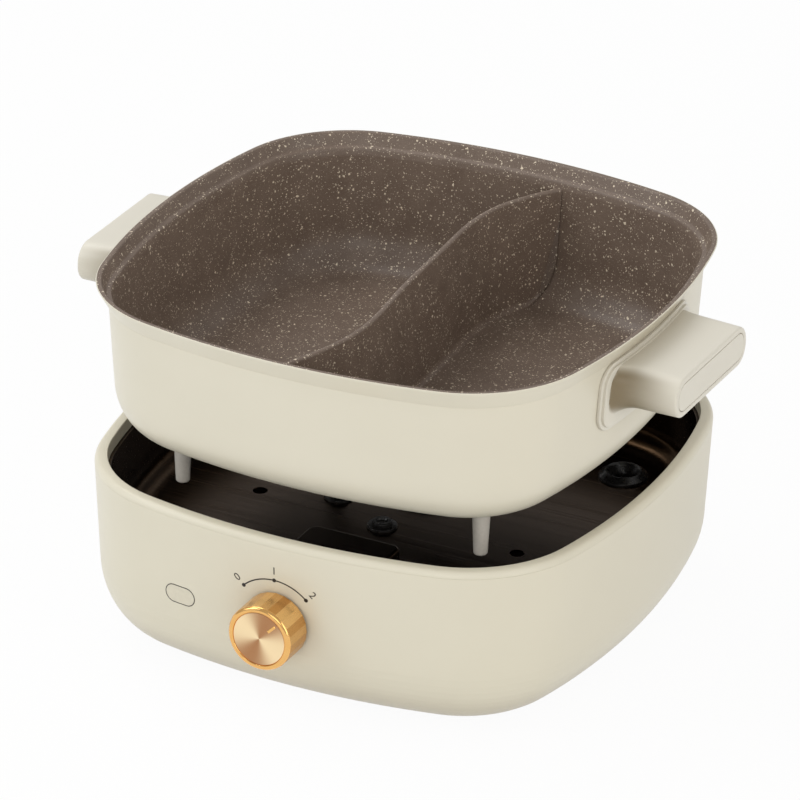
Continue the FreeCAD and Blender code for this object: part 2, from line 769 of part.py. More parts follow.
def floor_pan():
    """Drawn metal pan: flange, steep wall, round corner, flat floor and the raised platform."""
    flange_low = PAN_FLANGE_TOP - PAN_T
    outer_top = pan_wall_at(PAN_FLANGE_TOP) + PAN_T
    flange_edge = casing_wall_at(PARTING) - BASE_WALL - FIT
    core = pan_wall_at(PAN_FLOOR) - PAN_CORNER_R - 3.0
    ring = outline_ring([
        (flange_edge, PAN_FLANGE_TOP),
        (flange_edge, flange_low),
        (outer_top, flange_low),
        (pan_wall_at(PAN_FLOOR) + PAN_T, PAN_FLOOR - PAN_T, PAN_CORNER_R + PAN_T),
        (core, PAN_FLOOR - PAN_T),
        (core, PAN_FLOOR),
        (pan_wall_at(PAN_FLOOR), PAN_FLOOR, PAN_CORNER_R),
        (pan_wall_at(PAN_FLANGE_TOP), PAN_FLANGE_TOP, 0.5),
    ])
    pan = ring.fuse(outline_slab(core, PAN_FLOOR - PAN_T, PAN_FLOOR))
    front = side_reach(pan_wall_at(PLATFORM_TOP)) + 0.3
    mid_y = -(front + PLATFORM_REAR) / 2
    half_y = (front - PLATFORM_REAR) / 2
    raised = plate_z(0, mid_y, PLATFORM_HALF, half_y, 6.0, PAN_FLOOR - PAN_T, PLATFORM_TOP)
    top_edges = [e for e in raised.Edges if e.BoundBox.ZMin > PLATFORM_TOP - 0.01]
    raised = raised.makeFillet(2.0, top_edges)
    room = Part.makeBox(
        2 * (PLATFORM_HALF - PAN_T), front + CUT - PLATFORM_REAR - PAN_T, PLATFORM_RISE + CUT,
        Vector(PAN_T - PLATFORM_HALF, -front - CUT, PAN_FLOOR - PAN_T - CUT),
    )
    pan = pan.fuse(raised).cut(room)
    for x, y in pan_holes():
        pan = pan.cut(rod(VENT_HOLE_R, PAN_FLOOR - CUT, PAN_FLOOR + CUT, x, y))
    for x, y in corner_places(PEG_OFFSET).values():
        pan = pan.cut(rod(socket_outer_r() + FIT, PAN_FLOOR - CUT, PAN_FLOOR + CUT, x, y))
    for x, y in BUTTON_PLACES:
        pan = pan.cut(rod(BUTTON_R * 0.45 + FIT, PAN_FLOOR - CUT, PAN_FLOOR + CUT, x, y))
    pan = pan.cut(rod(COUPLER_R - 3.0 + FIT, PAN_FLOOR - CUT, PAN_FLOOR + CUT, 0, COUPLER_Y))
    return pan.removeSplitter()


def pan_holes():
    return [(-VENT_HOLE_X, VENT_HOLE_Y), (VENT_HOLE_X, VENT_HOLE_Y)]


def seated_tip():
    """Height of the peg tips once the pot is down."""
    return POT_BOTTOM - POT_LIFT - PEG_LENGTH


def socket_mouth_r():
    return PEG_ROOT_R + SOCKET_CLEARANCE + 3.2


def socket_outer_r():
    return PEG_ROOT_R + SOCKET_CLEARANCE + SOCKET_WALL


def peg_socket(x, y):
    """Funnel-mouthed cup for one peg: flange on the pan floor, blind body below it."""
    top = PAN_FLOOR + SOCKET_PROUD
    bottom = seated_tip() - FIT
    throat = PEG_ROOT_R + SOCKET_CLEARANCE
    low_r = PEG_TIP_R + SOCKET_CLEARANCE
    outer = socket_outer_r()
    return turned([
        (0, bottom),
        (low_r, bottom, 1.0),
        (throat, PAN_FLOOR - 1.0, 0.8),
        (socket_mouth_r(), top - 0.6, 0.4),
        (socket_mouth_r() + 1.4, top, 0.5),
        (SOCKET_FLANGE_R, PAN_FLOOR + 1.4, 0.5),
        (SOCKET_FLANGE_R, PAN_FLOOR),
        (outer, PAN_FLOOR),
        (outer - 0.6, bottom - SOCKET_WALL),
        (0, bottom - SOCKET_WALL),
    ], x, y)


def plug_low():
    """Height of the plug's end once the pot is down."""
    return POT_BOTTOM - POT_LIFT - PLUG_LENGTH


def base_coupler():
    """Round coupler in the pan floor with a well for the plug."""
    top = PAN_FLOOR + COUPLER_PROUD
    well = plug_low() - 1.5
    neck = COUPLER_R - 3.0
    coupler = turned([
        (0, well - 3.0),
        (neck, well - 3.0),
        (neck, PAN_FLOOR),
        (COUPLER_R, PAN_FLOOR),
        (COUPLER_R, PAN_FLOOR + 1.6, 0.8),
        (COUPLER_R - 2.0, PAN_FLOOR + 2.2, 0.8),
        (COUPLER_R - 3.4, top, 1.4),
        (PLUG_R + 0.5, top, 0.8),
        (PLUG_R + 0.5, well),
        (0, well),
    ], 0, COUPLER_Y)
    for x, y in contact_places():
        coupler = coupler.cut(rod(CONTACT_R + RUNNING, well - 5, well + 1, x, y))
    return coupler


def coupler_contacts():
    """Brass pins that stand in the coupler's well."""
    well = plug_low() - 1.5
    pins = []
    for x, y in contact_places():
        pins.append(turned([
            (0, well - 6.0),
            (CONTACT_R, well - 6.0),
            (CONTACT_R, well + 1.5 + CONTACT_HEIGHT, 0.8),
            (0, well + 1.5 + CONTACT_HEIGHT),
        ], x, y))
    return Part.makeCompound(pins)


def pan_buttons():
    """Round plugs with concentric steps in the pan floor."""
    plugs = []
    for x, y in BUTTON_PLACES:
        stem = BUTTON_R * 0.45
        plugs.append(turned([
            (0, PAN_FLOOR - 4.0),
            (stem, PAN_FLOOR - 4.0),
            (stem, PAN_FLOOR),
            (BUTTON_R, PAN_FLOOR),
            (BUTTON_R, PAN_FLOOR + 1.6, 0.6),
            (BUTTON_R * 0.72, PAN_FLOOR + 1.8),
            (BUTTON_R * 0.66, PAN_FLOOR + BUTTON_PROUD, 0.6),
            (BUTTON_R * 0.42, PAN_FLOOR + BUTTON_PROUD),
            (BUTTON_R * 0.34, PAN_FLOOR + BUTTON_PROUD - 1.2),
            (0, PAN_FLOOR + BUTTON_PROUD - 1.2),
        ], x, y))
    return Part.makeCompound(plugs)


def cover_offset():
    """Offset of the bottom cover's edge."""
    rebate = casing_wall_at(CASING_BOTTOM) - BASE_CORNER_RUN - CASING_FLANGE + COVER_REBATE
    return rebate - FIT


def screw_places():
    """Cover screws: one at the middle of each side, over the casing's flange."""
    inset = casing_wall_at(CASING_BOTTOM) - BASE_CORNER_RUN - CASING_FLANGE + COVER_REBATE - 2.2
    reach = side_reach(inset - BOSS_R + 1.2)
    return [(reach, 0), (0, reach), (-reach, 0), (0, -reach)]


def bottom_cover():
    """Flat cover under the base, let into the casing, with vent slots and screw holes."""
    cover = outline_slab(cover_offset(), CASING_BOTTOM, CASING_BOTTOM + COVER_T)
    low, high = CASING_BOTTOM - 1, CASING_BOTTOM + COVER_T + 1
    for side in (-1, 1):
        for index in range(VENT_SLOT_COUNT):
            y = (index - (VENT_SLOT_COUNT - 1) / 2) * VENT_SLOT_PITCH
            cover = cover.cut(plate_z(side * VENT_SLOT_X, y, VENT_SLOT_HALF, VENT_SLOT_R, VENT_SLOT_R - 0.05, low, high))
    for x, y in screw_places():
        cover = cover.cut(rod(SCREW_R + FIT, low, high, x, y))
        cover = cover.cut(Part.makeCone(SCREW_HEAD_R + FIT, SCREW_R + FIT, COVER_T, Vector(x, y, CASING_BOTTOM)))
    for x, y in corner_places(FOOT_OFFSET).values():
        cover = cover.cut(rod(FOOT_SPIGOT_R + RUNNING, low, high, x, y))
    return cover


def cover_screws():
    """Countersunk screws that hold the bottom cover."""
    screws = []
    for x, y in screw_places():
        screws.append(turned([
            (0, CASING_BOTTOM),
            (SCREW_HEAD_R, CASING_BOTTOM),
            (SCREW_R, CASING_BOTTOM + COVER_T),
            (SCREW_R, CASING_BOTTOM + SCREW_LENGTH),
            (0, CASING_BOTTOM + SCREW_LENGTH),
        ], x, y))
    return Part.makeCompound(screws)


def foot(x, y):
    """Rubber foot with a spigot through the bottom cover."""
    return turned([
        (0, 0),
        (FOOT_R - 1.0, 0),
        (FOOT_R, CASING_BOTTOM),
        (FOOT_SPIGOT_R, CASING_BOTTOM),
        (FOOT_SPIGOT_R, CASING_BOTTOM + COVER_T + 2.0),
        (0, CASING_BOTTOM + COVER_T + 2.0),
    ], x, y)


def polygon_prism(count, radius, low, high, phase=0.0):
    """Prism with flat facets."""
    points = []
    for index in range(count + 1):
        angle = 2 * pi * index / count + phase
        points.append(Vector(radius * cos(angle), radius * sin(angle), low))
    return Part.Face(Part.makePolygon(points)).extrude(Vector(0, 0, high - low))


def d_shaft(radius, low, high):
    """Round shaft with one flat."""
    flat = Part.makeBox(2 * radius, radius, high - low, Vector(-radius, radius - SHAFT_FLAT, low))
    return rod(radius, low, high).cut(flat)


def control_knob():
    """Faceted knob, hollow behind, with a hub for the shaft and a recess for its face disc."""
    back, front = KNOB_BACK, KNOB_FRONT
    facets = polygon_prism(KNOB_FACETS, KNOB_R / cos(pi / KNOB_FACETS), back, front)
    form = turned([
        (0, back),
        (KNOB_R + 0.4, back, 0.6),
        (KNOB_R + 0.2, front, KNOB_CHAMFER),
        (0, front),
    ])
    knob = facets.common(form)
    knob = knob.cut(rod(FACE_R + FIT, front - FACE_T, front + 1))
    hollow = rod(KNOB_R - KNOB_SHELL, back - 1, front - KNOB_WEB)
    knob = knob.cut(hollow.cut(rod(KNOB_HUB_R, back + NUT_T + 2.0, front)))
    knob = knob.cut(d_shaft(SHAFT_R + RUNNING, back - 1, front - KNOB_WEB + 3.0))
    return facing_front(knob, KNOB_Z)


def pointer_bar(depth, gap):
    """Bar of the pointer mark, drawn along +Z and turned to its angle."""
    length = POINTER_OUT - POINTER_IN - 2 * gap
    bar = Part.makeBox(
        length, 2 * (POINTER_HALF - gap), depth, Vector(POINTER_IN + gap, gap - POINTER_HALF, KNOB_FRONT - depth)
    )
    bar.rotate(ORIGIN, Z_AXIS, POINTER_ANGLE)
    return bar


def knob_face():
    """Spun disc in the knob's front, with a groove near its edge and a slot for the pointer."""
    front = KNOB_FRONT
    disc = turned([
        (0, front - FACE_T),
        (FACE_R, front - FACE_T),
        (FACE_R, front, 0.2),
        (0, front),
    ])
    return facing_front(disc.cut(pointer_bar(POINTER_DEPTH, 0.0)), KNOB_Z)


def knob_pointer():
    """Pointer mark let into the knob's face."""
    return facing_front(pointer_bar(POINTER_DEPTH, RUNNING), KNOB_Z)


def switch_front():
    """Reach of the rotary switch's mounting face, just inside the front wall."""
    return side_reach(casing_wall_at(KNOB_Z - SWITCH_HALF_HEIGHT) - BASE_WALL, SWITCH_HALF_WIDTH) - FIT


def switch_shaft():
    """Flatted shaft from the rotary switch into the knob."""
    low = switch_front() - SWITCH_LENGTH * 0.5
    high = KNOB_FRONT - KNOB_WEB + 3.0 - FIT
    return facing_front(d_shaft(SHAFT_R, low, high), KNOB_Z)


def rotary_switch():
    """Rotary switch: rounded housing, threaded bush through the wall, and three tab terminals."""
    front = switch_front()
    back = front - SWITCH_LENGTH
    housing = plate_z(0, 0, SWITCH_HALF_WIDTH, SWITCH_HALF_HEIGHT, 2.5, back, front)
    bush = rod(BUSH_R, front - 1, KNOB_BACK + NUT_T + 0.6)
    tabs = []
    for x in (-9.0, 0.0, 9.0):
        tabs.append(Part.makeBox(4.8, 0.8, 9.0, Vector(x - 2.4, -0.4, back - 8.0)))
    room = rod(SHAFT_R + RUNNING, front - SWITCH_LENGTH * 0.5 - FIT, KNOB_BACK + 10)
    return facing_front(housing.fuse(bush).fuse(tabs).cut(room), KNOB_Z)


def switch_nut():
    """Hexagon nut on the switch's bush, outside the wall and inside the knob."""
    low = side_reach(casing_wall_at(KNOB_Z + NUT_R)) + SEAT
    nut = polygon_prism(6, NUT_R, low, low + NUT_T).cut(rod(BUSH_R + RUNNING, low - 1, low + NUT_T + 1))
    return facing_front(nut, KNOB_Z)


def lamp_window():
    """Oval light window, flush with the front wall."""
    low, high = LAMP_Z - WINDOW_HALF_HEIGHT - 4, LAMP_Z + WINDOW_HALF_HEIGHT + 4
    band = side_band(casing_wall_at, -WINDOW_T, 0.0, low, high, -90)
    return band.common(window_tool(0.12))


def power_lamp():
    """Small lamp in a holder behind the window."""
    reach = side_reach(casing_wall_at(LAMP_Z) - BASE_WALL, abs(LAMP_X) + WINDOW_HALF_WIDTH) - 0.6
    lamp = turned([
        (0, reach - LAMP_LENGTH),
        (LAMP_R, reach - LAMP_LENGTH),
        (LAMP_R, reach, 2.0),
        (0, reach),
    ])
    back = reach - LAMP_LENGTH
    holder = plate_z(0, -LAMP_HOLDER_DROP, 8.0, 5.0, 1.5, back - 5.0, back + 2.0)
    group = facing_front(holder.fuse(lamp), LAMP_Z)
    group.translate(Vector(LAMP_X, 0, 0))
    return group


def gland_outer():
    return side_reach(casing_wall_at(GLAND_Z + GLAND_FLANGE_R)) + SEAT


def cord_gland():
    """Bush for the mains lead in the rear wall."""
    outer = gland_outer()
    gland = turned([
        (GLAND_BORE_R, outer + GLAND_FLANGE_T - GLAND_LENGTH),
        (GLAND_R, outer + GLAND_FLANGE_T - GLAND_LENGTH),
        (GLAND_R, outer),
        (GLAND_FLANGE_R, outer),
        (GLAND_FLANGE_R, outer + GLAND_FLANGE_T, 1.0),
        (GLAND_BORE_R, outer + GLAND_FLANGE_T),
    ])
    return facing_rear(gland, GLAND_Z)


def gland_nut():
    """Hexagon nut that holds the gland from inside."""
    radius = GLAND_FLANGE_R + 1.5
    high = side_reach(casing_wall_at(GLAND_Z - radius) - BASE_WALL, radius) - FIT
    nut = polygon_prism(6, radius, high - 4.0, high).cut(rod(GLAND_R + RUNNING, high - 6, high + 1))
    return facing_rear(nut, GLAND_Z)


def terminal_block():
    """Terminal block on the bottom cover."""
    width, depth, height = TERMINAL_SIZE
    low = CASING_BOTTOM + COVER_T
    block = Part.makeBox(width, depth, height, Vector(-width / 2, TERMINAL_Y - depth / 2, low))
    pitch = width / TERMINAL_COUNT
    for index in range(TERMINAL_COUNT):
        x = (index - (TERMINAL_COUNT - 1) / 2) * pitch
        block = block.cut(rod(3.0, low + height - 5.0, low + height + 1, x, TERMINAL_Y))
    return block


def terminal_screws():
    """Brass clamp screws in the terminal block."""
    width, depth, height = TERMINAL_SIZE
    low = CASING_BOTTOM + COVER_T
    screws = []
    for index in range(TERMINAL_COUNT):
        x = (index - (TERMINAL_COUNT - 1) / 2) * width / TERMINAL_COUNT
        screws.append(rod(2.7, low + height - 5.0, low + height - 1.5, x, TERMINAL_Y))
    return Part.makeCompound(screws)


def all_pieces():
    """Every node's name and solid, in the order of assembly."""
    pieces = {
        "base_casing": base_casing(),
        "rim_ring": rim_ring(),
        "floor_pan": floor_pan(),
        "base_coupler": base_coupler(),
        "coupler_contacts": coupler_contacts(),
        "pan_buttons": pan_buttons(),
        "bottom_cover": bottom_cover(),
        "cover_screws": cover_screws(),
        "control_knob": control_knob(),
        "knob_face": knob_face(),
        "knob_pointer": knob_pointer(),
        "switch_shaft": switch_shaft(),
        "rotary_switch": rotary_switch(),
        "switch_nut": switch_nut(),
        "lamp_window": lamp_window(),
        "power_lamp": power_lamp(),
        "cord_gland": cord_gland(),
        "gland_nut": gland_nut(),
        "terminal_block": terminal_block(),
        "terminal_screws": terminal_screws(),
        "pot_body": pot_body(),
        "pot_divider": divider(),
        "heater_ring": heater_ring(),
        "heater_cover": heater_cover(),
        "pot_plug": pot_plug(),
    }
    for name, place in corner_places(PEG_OFFSET).items():
        pieces["peg_socket_" + name] = peg_socket(*place)
        pieces["peg_" + name] = peg(*place)
    for name, place in corner_places(FOOT_OFFSET).items():
        pieces["foot_" + name] = foot(*place)
    handle = {
        "handle_plate": handle_plate(),
        "handle_grip": handle_grip(),
        "handle_end_cap": handle_end_cap(),
        "handle_studs": handle_studs(),
    }
    for name, shape in handle.items():
        pieces[name + "_right"] = shape
        pieces[name + "_left"] = other_side(shape)
    return pieces


def write(pieces):
    """Move every piece to the frame of the part and write one STEP file for each."""
    os.makedirs("parts", exist_ok=True)
    rear_end = max(gland_outer() + GLAND_FLANGE_T, side_reach(CASING_OFFSET), side_reach(LIP_FLARE))
    shift = (KNOB_FRONT - rear_end) / 2
    for name, shape in pieces.items():
        moved = shape.copy()
        moved.translate(Vector(0, shift, 0))
        moved.exportStep("parts/" + name + ".step")
        print(name, round(moved.Volume), len(moved.Solids), moved.isValid())
    print("moved in y by", round(shift, 4), "pot rim at", round(POT_RIM, 3), "base rim at", round(BASE_RIM, 3))


write(all_pieces())
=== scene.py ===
import json
import math

import bpy
from mathutils import Matrix, Vector


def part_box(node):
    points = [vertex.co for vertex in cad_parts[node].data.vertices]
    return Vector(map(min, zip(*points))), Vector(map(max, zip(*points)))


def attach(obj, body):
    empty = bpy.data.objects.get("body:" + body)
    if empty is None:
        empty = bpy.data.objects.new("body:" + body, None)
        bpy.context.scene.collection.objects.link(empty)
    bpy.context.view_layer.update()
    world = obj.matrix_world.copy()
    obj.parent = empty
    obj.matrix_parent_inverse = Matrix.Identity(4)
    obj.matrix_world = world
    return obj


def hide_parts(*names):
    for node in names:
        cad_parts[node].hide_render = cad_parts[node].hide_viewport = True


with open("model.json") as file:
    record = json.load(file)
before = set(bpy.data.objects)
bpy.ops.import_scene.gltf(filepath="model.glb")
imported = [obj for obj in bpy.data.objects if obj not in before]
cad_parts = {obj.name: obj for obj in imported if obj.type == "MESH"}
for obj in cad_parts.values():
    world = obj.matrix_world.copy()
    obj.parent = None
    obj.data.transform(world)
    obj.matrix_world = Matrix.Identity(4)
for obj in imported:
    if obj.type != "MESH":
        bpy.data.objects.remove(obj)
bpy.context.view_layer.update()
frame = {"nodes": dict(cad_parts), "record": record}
NODES = frame["nodes"]

# Lengths in this script are metres. MM turns millimetres into metres.
MM = 0.001

# Plan outline shared by pot and base: side arcs and corner arcs
RIM_HALF = 160.0 * MM
SIDE_R = 431.0 * MM
CORNER_R = 75.0 * MM
SIDE_SHIFT = SIDE_R - RIM_HALF
CORNER_C = (math.sqrt(2 * (SIDE_R - CORNER_R) ** 2 - SIDE_SHIFT ** 2) - SIDE_SHIFT) / 2
SIDE_ANGLE = math.atan2(CORNER_C, CORNER_C + SIDE_SHIFT)
SIDE_STEPS = 26
CORNER_STEPS = 30

# Extra profile points at the ends of stretches that are longer than the gap
SUPPORT_GAP = 4 * MM
SUPPORT_LONGEST = 1.5 * MM
SUPPORT_SHARE = 0.12

# Places read from the frame
AXIS_Y = (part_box("base_casing")[0].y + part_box("base_casing")[1].y) / 2
CASING_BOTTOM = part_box("base_casing")[0].z
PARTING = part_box("base_casing")[1].z
BASE_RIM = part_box("rim_ring")[1].z
PAN_FLANGE_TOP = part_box("rim_ring")[0].z
POT_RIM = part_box("pot_body")[1].z
POT_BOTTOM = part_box("pot_body")[0].z
KNOB_LOW, KNOB_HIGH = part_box("control_knob")
KNOB_Z = (KNOB_LOW.z + KNOB_HIGH.z) / 2

# Pot profile
POT_DRAFT = 0.064
BODY_INSET = 4.3 * MM
LIP_HEIGHT = 12.4 * MM
LIP_FLARE = 3.2 * MM
LIP_STEP = 0.6 * MM
POT_WALL = 3.0 * MM
POT_FLOOR = 3.0 * MM
RECESS = 8.0 * MM
POT_CORNER_RISE = 28.5 * MM
POT_CORNER_RUN = 24.0 * MM
SKIRT_GAP = 1.0 * MM
SKIRT_WIDTH = 7.5 * MM
FLOOR_OVERLAP = 4.0 * MM
COAT_EDGE = 0.2 * MM
COAT_OUTER = LIP_FLARE - 0.8 * MM
COAT_T = 0.3 * MM
COAT_SINK = COAT_T - 0.04 * MM
LEDGE_DEPTH = 8.0 * MM
LEDGE_WIDTH = 3.0 * MM
WALL_TOP = POT_RIM - LIP_HEIGHT
LEDGE_Z = POT_RIM - LEDGE_DEPTH
FLOOR_TOP = POT_BOTTOM + RECESS + POT_FLOOR
INNER_RISE = POT_CORNER_RISE - POT_WALL
INNER_RUN = POT_CORNER_RUN - POT_WALL

# Base profile
WELL_OFFSET = -3.38 * MM
CASING_OFFSET = WELL_OFFSET + 7.6 * MM
BASE_DRAFT = 0.05
BASE_WALL = 2.6 * MM
BASE_FLOOR = 3.4 * MM
BASE_CORNER_RISE = 43.0 * MM
BASE_CORNER_RUN = 33.9 * MM

# Divider: how far its line bends, its top under the rim, and its upright section
DIVIDER_BEND = 8.0 * MM
DIVIDER_SWING = 26.0 * MM
DIVIDER_TOP = 12.0 * MM
DIVIDER_HALF_TOP = 1.8 * MM
DIVIDER_HALF_FOOT = 4.0 * MM
DIVIDER_FILLET = 4.0 * MM
DIVIDER_SINK = 0.05 * MM
DIVIDER_EMBED = 0.4 * MM
DIVIDER_FLARE = 1.4 * MM
DIVIDER_FLARE_REACH = 0.9 * MM
DIVIDER_OVERRUN = 6.0 * MM
DIVIDER_STATIONS = 84

# Handle plates. The profile is (inset, lift) in millimetres, from the back over the step to the face.
HANDLE_TOP = POT_RIM - 13.2 * MM
HANDLE_LOW = HANDLE_TOP - 43.0 * MM
HANDLE_HALF = 58.5 * MM
HANDLE_R = 13.0 * MM
HANDLE_SEAT = 0.2 * MM
PLATE_T = 3.2 * MM
PLATE_STEP = 2.2 * MM
PLATE_BACK = ((19.0, 0.0), (10.0, 0.0), (0.0, 0.0))
PLATE_EDGE = ((0.0, 1.1), (0.12, 1.38), (0.4, 1.5), (1.9, 1.5), (2.15, 1.6), (2.2, 1.8))
PLATE_FACE = ((2.2, 2.75), (2.33, 3.07), (2.65, 3.2), (6.0, 3.2), (12.0, 3.2), (19.0, 3.2))

# Handle grips
GRIP_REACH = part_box("handle_grip_right")[1].x
GRIP_HALF = 48.4 * MM
GRIP_TOP = POT_RIM - 15.4 * MM
GRIP_LOW = GRIP_TOP - 26.6 * MM
GRIP_CORNER_R = 11.6 * MM
GRIP_DROP = 2.0 * MM
GRIP_BLEND = 17.0 * MM
GRIP_BLEND_STEPS = 16
GRIP_EDGE_R = 1.4 * MM
GRIP_EDGE_STEPS = 5
END_INSET = 3.6 * MM
END_CAP_T = 1.6 * MM
END_CHAMFER = 0.25 * MM
BOX_ARC_STEPS = 10
BOX_STRAIGHT_STEPS = 12

# Knob
KNOB_R = 20.0 * MM
KNOB_FACETS = 24
KNOB_BEVEL = 1.7 * MM
KNOB_ROUND_POINTS = 144
FACE_R = 16.4 * MM
FACE_DISH = 0.34 * MM
FACE_DEPTH = 0.26 * MM
POINTER_ANGLE = math.radians(45)
POINTER_LENGTH = 6.4 * MM
POINTER_WIDTH = 1.7 * MM
POINTER_MIDDLE = 11.4 * MM
PAINTED_FAN_TURN = math.radians(50)

# Printed marks on the front wall, and the lamp window
PRINT_LIFT = 0.06 * MM
PRINT_SINK = 0.05 * MM
DIAL_R = 28.5 * MM
DIAL_X = -1.6 * MM
DIAL_Z = KNOB_Z - 1.0 * MM
DIAL_SWEEP = math.radians(45)
DIAL_STEPS = 40
DIAL_LINE = 0.8 * MM
DOT_R = 1.25 * MM
DOT_POINTS = 24
LABEL_R = 34.4 * MM
FIGURE_SIZE = 6.8 * MM
WINDOW_HALF = (10.3 * MM, 5.8 * MM)
WINDOW_COLUMNS = 32
BORDER_HALF = (10.2 * MM, 5.7 * MM)
BORDER_LINE = 0.5 * MM
OVAL_STEPS = 16

# Painted shade and relief: where a handle's root starts to take painted shade, how far painted shade
# reaches into hollows, and the peel's relief
ROOT_PAINTED_SHADE_UNDER_RIM = 50.0 * MM
ROOT_PAINTED_SHADE_FADE = (3.0 * MM, 48.0 * MM)
PEEL_HEIGHT = 0.03 * MM
HANDLE_PAINTED_SHADE_REACH = 20.0 * MM
PAINTED_SHADE_REACH = 34.0 * MM
NEAR_SAMPLES = 8

# Flecks of the coating as (cells in a metre, largest reach in a cell, share of cells left plain)
FLECKS = ((380.0, 0.30, 0.78), (620.0, 0.33, 0.64), (1100.0, 0.34, 0.58))
FLECK_WOBBLE = 1.6 * MM

# Camera, worked out from the photograph's perspective
LENS = 307.9
AZIMUTH = math.radians(26.563)
ELEVATION = math.radians(26.14)
ROLL = math.radians(0.875)
TARGET = Vector((81.2 * MM, -171.44 * MM + AXIS_Y, POT_RIM))
DISTANCE = 3.8107
SENSOR_WIDTH = 36.0
CLIP_END = 50.0

# Room: floor, sky, and soft boxes as (name, place, size, watts, colour)
FLOOR_Z = -0.2 * MM
FLOOR_HALF = 9.0
SKY_STRENGTH = 0.54
LAMPS_AIM = (0, 0, 0.12)
LAMPS = (
    ("key_left", (-1.6, -1.3, 1.5), (1.2, 1.4), 13.5, (0.93, 0.97, 1.0)),
    ("top_left", (-1.0, 0.3, 2.0), (1.2, 1.2), 13, (1, 1, 1)),
    ("front", (0.6, -2.2, 1.2), (1.4, 1.0), 8, (1.0, 0.98, 0.94)),
    ("right", (1.9, -0.4, 0.9), (0.7, 1.4), 5, (1.0, 0.97, 0.91)),
    ("corner_strip", (1.9, -0.95, 0.75), (0.2, 1.3), 3.6, (1.0, 0.98, 0.95)),
)


def pot_wall_at(z):
    """Offset of the pot's drafted outer wall at a height."""
    return -BODY_INSET - POT_DRAFT * (WALL_TOP - z)


def casing_wall_at(z):
    """Offset of the base's drafted outer wall at a height."""
    return CASING_OFFSET - BASE_DRAFT * (PARTING - z)


def skirt_inside():
    """Offset of the inner side of the skirt under the pot."""
    return pot_wall_at(POT_BOTTOM) - POT_CORNER_RUN - SKIRT_GAP - SKIRT_WIDTH


def side_reach(offset, across=0.0):
    """How far an outline's side arc lies from the middle, at a distance along the side."""
    return math.sqrt((SIDE_R + offset) ** 2 - across ** 2) - SIDE_SHIFT


def outline(offset):
    """Points of the plan outline moved outwards by an offset, once round."""
    points = []
    corner_sweep = math.pi / 2 - 2 * SIDE_ANGLE
    for quarter in range(4):
        turn = math.pi / 2 * quarter
        c, s = math.cos(turn), math.sin(turn)
        side = (-SIDE_SHIFT * c, -SIDE_SHIFT * s, SIDE_R)
        corner = (CORNER_C * (c - s), CORNER_C * (s + c), CORNER_R)
        arcs = (
            (side, turn - SIDE_ANGLE, 2 * SIDE_ANGLE, SIDE_STEPS),
            (corner, turn + SIDE_ANGLE, corner_sweep, CORNER_STEPS),
        )
        for (x, y, radius), start, sweep, steps in arcs:
            reach = radius + offset
            for step in range(steps):
                angle = start + sweep * step / steps
                points.append((x + reach * math.cos(angle), y + AXIS_Y + reach * math.sin(angle)))
    return points


def rounded(points, closed):
    """Dense profile from corner points (d, z), (d, z, setback) or (d, z, before, after)."""
    dense = []
    count = len(points)
    for i, point in enumerate(points):
        here = Vector(point[:2])
        if len(point) < 3 or (not closed and i in (0, count - 1)):
            dense.append(here)
            continue
        before = point[2]
        after = point[3] if len(point) > 3 else before
        back = (Vector(points[i - 1][:2]) - here).normalized()
        ahead = (Vector(points[(i + 1) % count][:2]) - here).normalized()
        start, end = here + back * before, here + ahead * after
        turn = math.pi - back.angle(ahead)
        pull = 4 / 3 * math.tan(turn / 4) / math.tan(turn / 2)
        grip_a, grip_b = start + (here - start) * pull, end + (here - end) * pull
        steps = max(3, min(14, int(max(before, after) / MM)))
        for step in range(steps + 1):
            t = step / steps
            a, b, c, d = (1 - t) ** 3, 3 * t * (1 - t) ** 2, 3 * t * t * (1 - t), t ** 3
            dense.append(start * a + grip_a * b + grip_b * c + end * d)
    return dense


def with_supports(profile, closed):
    """Adds a point near each end of long stretches, so that shading stays flat between bends."""
    result = []
    count = len(profile)
    for i, point in enumerate(profile):
        result.append(point)
        if not closed and i == count - 1:
            break
        following = profile[(i + 1) % count]
        gap = (following - point).length
        if gap > SUPPORT_GAP:
            step = min(SUPPORT_LONGEST, gap * SUPPORT_SHARE) / gap
            result += [point.lerp(following, step), point.lerp(following, 1 - step)]
    return result


def new_object(name, vertices, faces, smooth_angle=30):
    """A mesh object, smooth but for edges sharper than an angle in degrees."""
    mesh = bpy.data.meshes.new(name)
    mesh.from_pydata([tuple(v) for v in vertices], [], faces)
    mesh.validate()
    mesh.update()
    mesh.shade_smooth()
    mesh.set_sharp_from_angle(angle=math.radians(smooth_angle))
    piece = bpy.data.objects.new(name, mesh)
    bpy.context.scene.collection.objects.link(piece)
    return piece


def skinned(name, rings, closed=False, smooth_angle=30):
    """A piece skinned over rings of points. An open one is capped flat at both its ends."""
    count, rows = len(rings[0]), len(rings)
    faces = []
    for row in range(rows if closed else rows - 1):
        low, high = row * count, ((row + 1) % rows) * count
        for i in range(count):
            j = (i + 1) % count
            faces.append((low + i, low + j, high + j, high + i))
    if not closed:
        last = (rows - 1) * count
        faces.append(tuple(reversed(range(count))))
        faces.append(tuple(range(last, last + count)))
    return new_object(name, [point for ring in rings for point in ring], faces, smooth_angle)


def banded(name, points, closed=False):
    """A piece swept round the plan outline from a profile of (d, z) points."""
    profile = with_supports(rounded(points, closed), closed)
    return skinned(name, [[(x, y, z) for x, y in outline(d)] for d, z in profile], closed)


def paint(piece, material):
    """Gives a piece one material."""
    piece.data.materials.clear()
    piece.data.materials.append(material)


def place(piece, body, slot, material, *nodes):
    """Lets a piece ride on a body, take a material, and stand for CAD nodes. Its slot is not used."""
    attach(piece, body)
    paint(piece, material)
    if nodes:
        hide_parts(*nodes)


